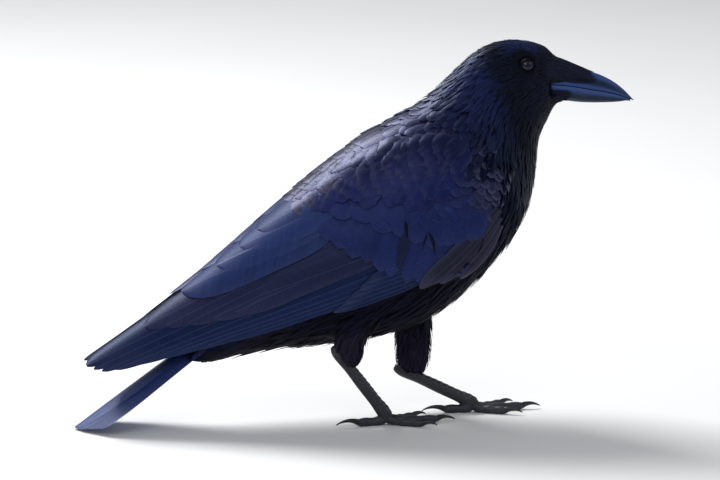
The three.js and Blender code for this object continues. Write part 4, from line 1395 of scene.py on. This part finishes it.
def make_ridge():
    """The back's feathers between the wings, the long ones first."""
    vanes = Vanes()
    rows, columns = 12, 7
    level = np.linspace(0, 1, rows)
    share = level[:, None]
    c = np.linspace(-1, 1, columns)
    feathers = list(RIDGE)
    for start in RIDGE_STARTS:
        for middle in RIDGE_PLACES:
            place = start + rng.uniform(-2.5, 2.5)
            feathers.append((place, rng.uniform(19, 25), middle, RIDGE_HALF, "ridge"))
    for start, length, middle, wide, colour in feathers:
        middle = middle + rng.uniform(-1.5, 1.5)
        half = wide * rng.uniform(0.95, 1.15)
        form = outline(share, 0.15, 0.5) * (1 - 0.15 * rng.random((rows, columns)) * np.abs(c) ** 3)
        t = start + length * share + 0 * c
        y = middle * (1 - 0.1 * share) + c * half * form
        top = mix(-0.8, rng.uniform(0.5, 1.3), ramp(start, 60, 96)) if colour == "ridge" else 0.3
        rise = mix(mix(-6, -1.2, ramp(start, 64, 100)), top, share**0.6) - 0.8 * (c * form) ** 2
        upper, lower = (ridge_point(t, y, rise - under)[None] for under in (0, 0.28))
        patch = small_patch(np.array([[0.5 + middle / 60, start / 180]]))
        tint = linear(colour)[None] * rng.uniform(0.85, 1.15)
        # pale rims as a painted highlight on the feathers on top of the back
        vanes.add(upper, lower, True, c, level, half * form, 0.3, 0.3, tint, patch)
    vanes.make("coat_back_ridge", "plumage", "mantle")


for side in (RIGHT, LEFT):
    make_primaries(side)
    make_secondaries(side)
    make_tertials(side)
    make_coverts(side)
    make_scapulars(side)
    make_lesser_coverts(side)
make_ridge()

# -------- tail

TAIL_WIDE, TAIL_NARROW = 25, 21  # widths of the middle and the outermost feathers
TAIL_STEP = 3  # how much shorter each pair is than the one inside it
TAIL_LAYER = 0.52  # how much deeper each pair lies
TAIL_LEAD = 0.36  # the outer vane's share of the width, except in the middle pair


def make_tail():
    """Twelve feathers, the middle pair on top, roofed along the midline."""
    vanes = Vanes()
    share = large_share(LARGE_ROWS)
    column = share[:, None]
    c = np.linspace(-1, 1, LARGE_COLUMNS)
    root, tip = (np.array([x, 0, z], float) for x, z in (TAIL_ROOT, TAIL_TIP))
    along = unit(tip - root)
    rise = np.array([along[2], 0, -along[0]])
    form = outline(share, 0.0, 0.5)[:, None] * np.ones(LARGE_COLUMNS)
    for pair in range(TAIL_PAIRS):
        length = np.linalg.norm(tip - root) - TAIL_STEP * pair
        lead = 0.5 if pair == 0 else TAIL_LEAD
        halves = np.where(c > 0, lead, 1 - lead) * mix(TAIL_WIDE, TAIL_NARROW, pair / (TAIL_PAIRS - 1))
        centre = (pair + 0.35) * mix(1.4, 3.3, column) + mix(2, 3.2, column) * (pair > 0)
        y = np.maximum(centre + c * halves * form, 0.05)
        fall = 0.2 * y * mix(0.6, 1, column)
        sink = pair * TAIL_LAYER + 0.1 + 0.3 * c**2
        at = root + along * (length * share)[:, None]
        ridge = (c == 0) * 0.25 * (1 - 0.6 * column)
        for number, side in enumerate((RIGHT, LEFT)):
            upper = at[:, None] - rise * (sink + fall)[..., None]
            upper[..., 1] = y * side
            lower = upper - rise * 0.45
            upper = upper + rise * ridge[..., None]
            tint = linear("tail") * rng.uniform(0.9, 1.12)
            tint = worn_tint(tint, 0.2, 0.85, share, LARGE_COLUMNS)
            patch = strip(2 * pair + number, 2 * TAIL_PAIRS)
            vanes.add(
                upper[None], lower[None], side == RIGHT, c, share, halves * form, 0.08, 1, tint, patch
            )
    vanes.make("tail_feathers", "tail_gloss", "tail", "tail")


make_tail()

# -------- head

BILL_RINGS, BILL_SEGMENTS = 64, 48
# How full the bill's section is towards the culmen, the keel and the sides.
ROOF_POWER, KEEL_POWER, SIDE_POWER = 0.86, 0.7, 2.1
LOWER_SHORTER = 2.2  # how much shorter the lower half is than the upper
LOWER_NARROWER = 0.93
BILL_BROAD = 9  # half the width where the inner side is at its hollowest
# The x, z that the lowest and the highest bristles lean towards.
BRISTLES_LOW, BRISTLES_HIGH = np.array([172.0, 232.8]), np.array([169.0, 239.6])
BRISTLES, CHIN_BRISTLES = 820, 230  # on each side
BRISTLE_ROWS = 9
EYE_STEPS, EYE_SEGMENTS, LID_SEGMENTS = 40, 48, 72
EYE_BACK = 9  # marks the eyeball's back half, which has no iris
LID_OPENING = (4.5, 3.4)  # half the width and height of the open eye
LID_END = 1.5  # the angle from the eye's axis at which the lids end
# Round a lid's section: how far out from the edge of the opening, as a share, and how
# far over the eyeball.
LID_PROFILE = [(0, 0.05), (0.0, 0.35), (0.07, 0.55), (0.16, 0.5), (0.3, 0.25)]
LID_PROFILE += [(0.55, 0.04), (0.8, -0.1), (0.8, -0.5), (0.2, -0.3)]


def turns(segments):
    """Angles once round, without the last, which is the first again."""
    return np.linspace(0, 2 * math.pi, segments + 1)[:-1]


def bill_section(x, upper, turn, place):
    """One half's outline: the roof over the cutting edge, or the keel under it. The lower
    half is the shorter one, so its stations lie back from the places they are drawn for."""
    far = bill_culmen(x) if upper else bill_keel(x)
    near = bill_edge(place) - (0 if upper else 0.1)
    half = bill_half(x) * (1.0 if upper else LOWER_NARROWER)
    aside = np.abs(np.sin(turn))
    height = (1 - aside**SIDE_POWER) ** (ROOF_POWER if upper else KEEL_POWER)
    groove = 0.05 * np.exp(-(((height - 0.42) / 0.1) ** 2)) * (1 - ramp(x, 172, 186))
    ridge = 0.03 * np.exp(-(((height - 0.68) / 0.08) ** 2)) * (1 - ramp(x, 182, 190))
    y = np.sin(turn) * half * (1 - groove + ridge)
    return y, near + (far - near) * height


def bill_side(x, z):
    """Half the width of the bill at a height."""
    rise = z - bill_edge(x)
    reach = np.where(rise > 0, bill_culmen(x), bill_keel(x)) - bill_edge(x)
    power = np.where(rise > 0, 1 / ROOF_POWER, 1 / KEEL_POWER)
    full = 1 - np.clip(rise / reach, 0, 1) ** power
    return bill_half(x) * np.maximum(0, full) ** (1 / SIDE_POWER)


def paint_bill(made, upper, points):
    """Marks the bill's painted bands of reflected sky, its worn edge and tip, and the painted shade along the
    mouth line.
    """
    x, height = points[:, 0], points[:, 2] - bill_edge(points[:, 0])
    # painted reflection: bands of sky along the culmen and beside the cutting edge, fading down the lower
    # half
    if upper:
        share = height / (bill_culmen(x) - bill_edge(x))
        painted_sheen = 0.1 + 0.7 * (1 - ramp(share, 0.14, 0.34)) + 0.9 * ramp(share, 0.6, 0.9)
    else:
        share = -height / (bill_edge(x) - bill_keel(x))
        painted_sheen = 0.85 * (1 - ramp(share, 0.16, 0.55))
    from_edge = np.abs(height)
    wear = np.clip(1 - np.abs(from_edge - 1.2) / 1.2, 0, 1) * 0.8 + 0.3 * ramp(x, 184, 195)
    paint(made, "painted_sheen", np.clip(painted_sheen, 0, 1))
    paint(made, "wear", wear)
    # painted shade: darkest right at the cutting edge, where the two halves meet
    paint(made, "painted_slit_shade", 1 - ramp(from_edge, 0.12, 0.5))


def make_bill(upper):
    """One half of the bill, with a shallow hollow on its inner side."""
    x = np.linspace(BILL[0][0] + 1, BILL[-1][0], BILL_RINGS)
    turn = np.linspace(-math.pi / 2, math.pi / 2, BILL_SEGMENTS // 2 + 1)
    place = x - (0 if upper else LOWER_SHORTER) * ramp(x, 150, 190)
    y, z = bill_section(x[:, None], upper, turn[None], place[:, None])
    lip = bill_edge(place)[:, None] + (0.1 if upper else -0.3)
    across = np.linspace(1, -1, BILL_SEGMENTS // 2 - 1)
    half = bill_half(x)[:, None]
    inner_y = half * across * (0.9 if upper else 0.84)
    inner_z = lip + (0.9 if upper else -0.7) * (1 - across**2) * (half / BILL_BROAD)
    ring_y, ring_z = np.concatenate([y, inner_y], 1), np.concatenate([z, inner_z], 1)
    ring_x = np.broadcast_to(place[:, None], ring_y.shape)
    points, faces = tube(np.stack([ring_x, ring_y, ring_z], -1))
    node = "bill_upper" if upper else "bill_lower"
    made = faced_out(mesh_object(f"{node}_horn", points, faces))
    paint_bill(made, upper, points)
    finished(made, "bill", materials["bill"], node)


def make_eye(side):
    """The eyeball with its clear bulge, and the ring of lids round it."""
    centre = EYE * [1, side, 1]
    axis = unit(np.array([0.2, side, 0.06]))
    level = unit(np.cross([0, 0, 1], axis))
    rise = np.cross(axis, level)
    angle = np.linspace(0, math.pi, EYE_STEPS)
    radius = (EYE_RADIUS - 0.1) * (1 + 0.07 * np.exp(-((angle / 0.62) ** 2)))
    out, ahead = (radius * part(angle) for part in (np.sin, np.cos))
    turn = turns(EYE_SEGMENTS)[:, None]
    around = np.cos(turn) * level + np.sin(turn) * rise
    rings = centre + out[1:-1, None, None] * around + ahead[1:-1, None, None] * axis
    points, faces = tube(rings)
    ball = faced_out(mesh_object(f"eyeball_{SIDE_NAMES[side]}", points, faces))
    from_axis = np.linalg.norm(np.cross(points - centre, axis), axis=1)
    paint(ball, "from_axis", np.where((points - centre) @ axis < 0, EYE_BACK, from_axis))
    finished(ball, "eye", materials["eye"], f"eye_{SIDE_NAMES[side]}")

    turn = turns(LID_SEGMENTS)
    wide, tall = LID_OPENING
    inner = np.arcsin(np.hypot(wide * np.cos(turn), tall * np.sin(turn)) / EYE_RADIUS)
    around = np.cos(turn)[:, None] * level + np.sin(turn)[:, None] * rise
    rings = []
    for reach, swell in LID_PROFILE:
        wrinkle = 0.07 * np.sin(turn * 29 + 5 * reach) * (swell > 0.4)
        shell = (EYE_RADIUS + swell + wrinkle)[:, None]
        polar = mix(inner, LID_END, reach)[:, None]
        rings.append(centre + shell * (np.sin(polar) * around + np.cos(polar) * axis))
    rings = np.array(rings).transpose(1, 0, 2)
    points, faces = tube(np.concatenate([rings, rings[:1]]), closed_ends=False)
    lid = faced_out(mesh_object(f"eyelids_{SIDE_NAMES[side]}", points, faces), weld=True)
    finished(lid, "eye", materials["lid"])


def add_bristles(vanes, side, roots, tips, thick, lift, colour):
    """Adds stiff hairs from the face, lying forwards along the side of the bill."""
    count = len(roots)
    share = np.linspace(0, 1, BRISTLE_ROWS)
    x, z = (mix(roots[:, k, None], tips[:, k, None], share) for k in range(2))
    z = np.minimum(z, bill_culmen(x) + 0.3)
    starts = [(a, side * 40, b) for a, b in zip(x.ravel(), z.ravel())]
    casts = [skin.tree.ray_cast(start, (0, -side, 0), 60)[0] for start in starts]
    face = np.array([hit[1] * side if hit else 0.0 for hit in casts]).reshape(x.shape)
    face = np.maximum(face, bill_side(x, z))
    for _ in range(2):
        face[:, 1:-1] = np.maximum(face[:, 1:-1], (face[:, :-2] + face[:, 2:]) / 2)
    over = lift * rng.uniform(0.4, 1.6, (count, 1)) * np.sin(math.pi * (0.04 + 0.86 * share))
    y = face - 0.6 * (1 - ramp(share, 0, 0.15)) + over + 0.1
    line = np.stack([x, y * side, z], -1)
    outward = unit(np.array([0.15, side, 0.35]) + 0 * line)
    chart = np.stack([0.25 + side * 0.2 + (roots[:, 0] - 130) / 200, (roots[:, 1] - 210) / 60], 1)
    tint = linear(colour) * rng.uniform(0.7, 1.9, (count, 1))

    aside = unit(np.cross(outward, unit(np.gradient(line, axis=1))))
    line, outward, aside = (values[:, :, None] for values in (line, outward, aside))
    c = np.linspace(-1, 1, 3)
    half = thick * outline(share, 0.85, 0.6)[None, :, None] * np.ones((count, 1, 3))
    upper = line + aside * (half * c)[..., None]
    upper = upper + outward * (0.4 * thick * (1 - c**2))[:, None]
    lower = upper - outward * (0.1 + 0.5 * thick)
    vanes.add(upper, lower, False, c, share, half, np.full(count, 0.1), 0, tint, small_patch(chart))


def make_bristles():
    """The pad of bristles over the root of the bill, and shorter hairs at the gape."""
    vanes = Vanes()
    for side in (RIGHT, LEFT):
        high, back = rng.random(BRISTLES), rng.random(BRISTLES)
        root_x = mix(129, 150, back**0.8)
        low, top = mix(239, 233.4, back), mix(257, 247.5, back)
        roots = np.stack([root_x, mix(low, top, high)], 1)
        far = mix(BRISTLES_LOW, BRISTLES_HIGH, high[:, None]) - roots
        reach = np.linalg.norm(far, axis=1, keepdims=True)
        length = rng.uniform(11, 23, (BRISTLES, 1))
        length = np.minimum(length, reach - rng.uniform(0.5, 8, (BRISTLES, 1)))
        tips = roots + far / reach * length
        add_bristles(vanes, side, roots, tips, 0.32, 0.9, "brow")
        high = rng.random(CHIN_BRISTLES)
        roots = np.stack([mix(136.5, 145, rng.random(CHIN_BRISTLES)), mix(220.5, 227.5, high)], 1)
        tips = roots + np.stack([rng.uniform(1.5, 8, CHIN_BRISTLES), mix(-0.4, 0.6, high)], 1)
        add_bristles(vanes, side, roots, tips, 0.24, 0.3, "chin")
    vanes.make("bristles", "plumage", "coat")


make_bill(upper=True)
make_bill(upper=False)
for side in (RIGHT, LEFT):
    make_eye(side)
make_bristles()

# -------- legs

# Along the tarsus: the share of its length, and the radii in depth and in width.
TARSUS = [(-0.11, 2.2, 1.8), (-0.07, 3.6, 2.9), (0, 4.5, 3.5), (0.1, 4.4, 3.3), (0.24, 4, 2.9)]
TARSUS += [(0.5, 4.3, 3), (0.78, 4.3, 3), (0.92, 4.9, 4.1), (1, 4.5, 4.1), (1.06, 2.9, 2.9)]
TARSUS_RINGS, TARSUS_SEGMENTS = 150, 40
TOE_RINGS, TOE_SEGMENTS = 90, 28
CLAW_RINGS, CLAW_SEGMENTS = 26, 18
# Plates: the length of one, how high it stands and the side of the limb they are on.
SCUTE, SCUTE_HEIGHT, FRONT = 4.4, 0.45, 0.0
TOE_SCUTE, TOE_SCUTE_HEIGHT, UPPER_SIDE = 3.1, 0.4, math.pi
LEG_VOXEL = 0.42
CLAW_BEND = math.radians(58)
CLAW_ROOT, CLAW_TIP = 2.3, 0.35  # radii
CLAW_SUNK = 0.6  # how far the claw's root lies in the toe
UP = np.array([0, 0, 1.0])
OUTWARDS = np.array([0.0, 1.0, 0.0])


def plated(distance, pitch):
    """The rise and sudden drop of overlapping plates, from 0 to 1."""
    return (distance / pitch) % 1


def swept(path, depth, width, segments, across, plates=None):
    """A tube along a path, with radii in depth and in width and plates on one side."""
    along = unit(np.gradient(path, axis=0))
    deep = unit(np.cross(along, across))
    wide = unit(np.cross(deep, along))
    turn = turns(segments)
    run = np.concatenate([[0], np.cumsum(np.linalg.norm(np.diff(path, axis=0), axis=1))])
    relief = np.zeros((len(path), segments))
    if plates:
        pitch, height, front = plates
        facing = ramp(np.cos(turn - front), 0.25, 0.45)
        relief = height * plated(run, pitch)[:, None] * facing[None]
    reach = (depth[:, None] + relief) * np.cos(turn)
    side = (width[:, None] + relief) * np.sin(turn)
    rings = path[:, None] + deep[:, None] * reach[..., None] + wide[:, None] * side[..., None]
    return tube(rings)


def ends_of(leg):
    """The heel and the foot, at the ends of the bare tarsus."""
    return (np.array(leg[end], float) * [1, leg["side"], 1] for end in ("heel", "foot"))


def toe_direction(leg, angle):
    turned = math.radians(angle + leg["turn"])
    return np.array([math.cos(turned), leg["side"] * math.sin(turned), 0])


def toe_body(leg, toe):
    name, angle, length, root, end, _ = toe
    along = toe_direction(leg, angle)
    _, foot = ends_of(leg)
    f = np.linspace(0, 1, TOE_RINGS)
    path = foot + along * (length * f)[:, None]
    path[:, 2] = mix(foot[2] - 2.2, FLOOR + TOE_LEVEL, np.minimum(1, f * 3.2))
    joints = 2 if name == "hallux" else 3
    swell = 1 + 0.08 * np.cos(f * joints * 2 * math.pi + math.pi)
    radius = mix(root, end, f) * swell * np.where(f > 0.97, 0.82, 1) - 0.15
    plates = TOE_SCUTE, TOE_SCUTE_HEIGHT, UPPER_SIDE
    return swept(path, radius, radius, TOE_SEGMENTS, np.cross(UP, along), plates)


def make_leg(leg):
    """The bare tarsus and the toes, as one skin of scales."""
    name = SIDE_NAMES[leg["side"]]
    heel, foot = ends_of(leg)
    f = np.linspace(TARSUS[0][0], TARSUS[-1][0], TARSUS_RINGS)
    _, depth, width = (read(f) - 0.2 for read in columns_of(TARSUS))
    plates = SCUTE, SCUTE_HEIGHT, FRONT
    bodies = [swept(mix(heel, foot, f[:, None]), depth, width, TARSUS_SEGMENTS, OUTWARDS, plates)]
    bodies += [toe_body(leg, toe) for toe in TOES]
    made = remeshed(f"leg_{name}", faced_out(mesh_object("leg_source", *merged(bodies))), LEG_VOXEL)
    points = smoothed(made.data, points_of(made.data), 1)
    points[:, 2] = np.maximum(points[:, 2], FLOOR + 0.02)
    set_points(made.data, points)
    made.data.polygons.foreach_set("use_smooth", np.ones(len(made.data.polygons), bool))
    length = np.linalg.norm(foot - heel)
    down = unit(foot - heel)
    front = unit(np.cross(down, OUTWARDS))
    run = (points - heel) @ down - TARSUS[0][0] * length
    facing = ramp((points - heel) @ front, 1.5, 3.5) * (run < 1.1 * length)
    plate_edge = ramp(plated(run, SCUTE), 0.62, 0.95) * facing
    paint(made, "wear", np.clip(rng.normal(0.1, 0.08, len(points)) + 0.6 * plate_edge, 0, 1))
    finished(made, "leg_scales", materials["leg"], f"tarsus_{name}", f"foot_{name}")


def make_claws(leg):
    """The four claws of a foot, bent down to the floor."""
    name = SIDE_NAMES[leg["side"]]
    _, foot = ends_of(leg)
    f = np.linspace(0, 1, CLAW_RINGS)
    lift = CLAW_BEND * 0.45
    turn = lift - CLAW_BEND * f
    radius = mix(CLAW_ROOT, CLAW_TIP, f**0.85)
    bodies = []
    for _, angle, length, *_, claw in TOES:
        along = toe_direction(leg, angle)
        arc = claw / CLAW_BEND
        start = foot + along * (length - CLAW_SUNK)
        start[2] = FLOOR + TOE_LEVEL
        path = start + along * (arc * (math.sin(lift) - np.sin(turn)))[:, None]
        path[:, 2] = np.maximum(path[:, 2] + arc * (np.cos(turn) - math.cos(lift)), FLOOR + radius + 0.05)
        bodies.append(swept(path, radius, radius * 0.78, CLAW_SEGMENTS, np.cross(UP, along)))
    claws = faced_out(mesh_object(f"claws_{name}", *merged(bodies)))
    finished(claws, "claw", materials["claw"], *[f"claw_{name}_{toe[0]}" for toe in TOES])


for leg in LEGS:
    make_leg(leg)
    make_claws(leg)

# -------- stage, light and camera

FLOOR_HALF = 30000
MIDDLE = Vector((0, 0, 0.12))  # what the lamps shine at, in metres
AIM = Vector((0.0074, 0.0247, 0.1221))
VIEW = Vector((0.136, 0.969, -0.208)).normalized()
VIEW_DISTANCE = 4.15
LENS, SENSOR = 300, 36
WORLD_COLOUR, WORLD_STRENGTH = (0.93, 0.96, 1.0, 1), 0.4
LAMPS = [  # name, place, size, power
    ("key", (-0.8, 0.9, 1.5), 0.8, 42),
    ("fill", (-0.6, -1.6, 1.5), 1.1, 9),
    ("front", (1.6, -0.9, 1.2), 1.0, 3),
]


def make_floor():
    half = FLOOR_HALF
    points = [(-half, -half, 0), (half, -half, 0), (half, half, 0), (-half, half, 0)]
    floor = mesh_object("floor", np.array(points) - SHIFT, [[0, 1, 2, 3]], smooth=False)
    n = Nodes("floor_pale")
    shade = n.steps(n.noise(3.0, 2.0, n.place()), 0.3, 0.7, 0.8, 0.82)
    floor.data.materials.append(n.set(Base_Color=n.grey(shade), Roughness=0.9))


def make_lamp(name, place, size, power):
    light = bpy.data.lights.new(name, "AREA")
    light.size = size
    light.energy = power
    made = linked(name, light)
    made.location = place
    made.rotation_euler = (MIDDLE - Vector(place)).to_track_quat("-Z", "Y").to_euler()


def make_world():
    world = bpy.data.worlds.new("studio")
    world.use_nodes = True
    bpy.context.scene.world = world
    background = world.node_tree.nodes["Background"]
    background.inputs["Color"].default_value = WORLD_COLOUR
    background.inputs["Strength"].default_value = WORLD_STRENGTH


def make_camera():
    data = bpy.data.cameras.new("camera")
    data.lens = LENS
    data.sensor_width = SENSOR
    data.clip_end = 100
    camera = linked("camera", data)
    camera.location = AIM - VIEW * VIEW_DISTANCE
    camera.rotation_euler = VIEW.to_track_quat("-Z", "Y").to_euler()
    bpy.context.scene.camera = camera


make_floor()
make_world()
for lamp in LAMPS:
    make_lamp(*lamp)
make_camera()
bpy.context.scene.view_settings.view_transform = "Standard"
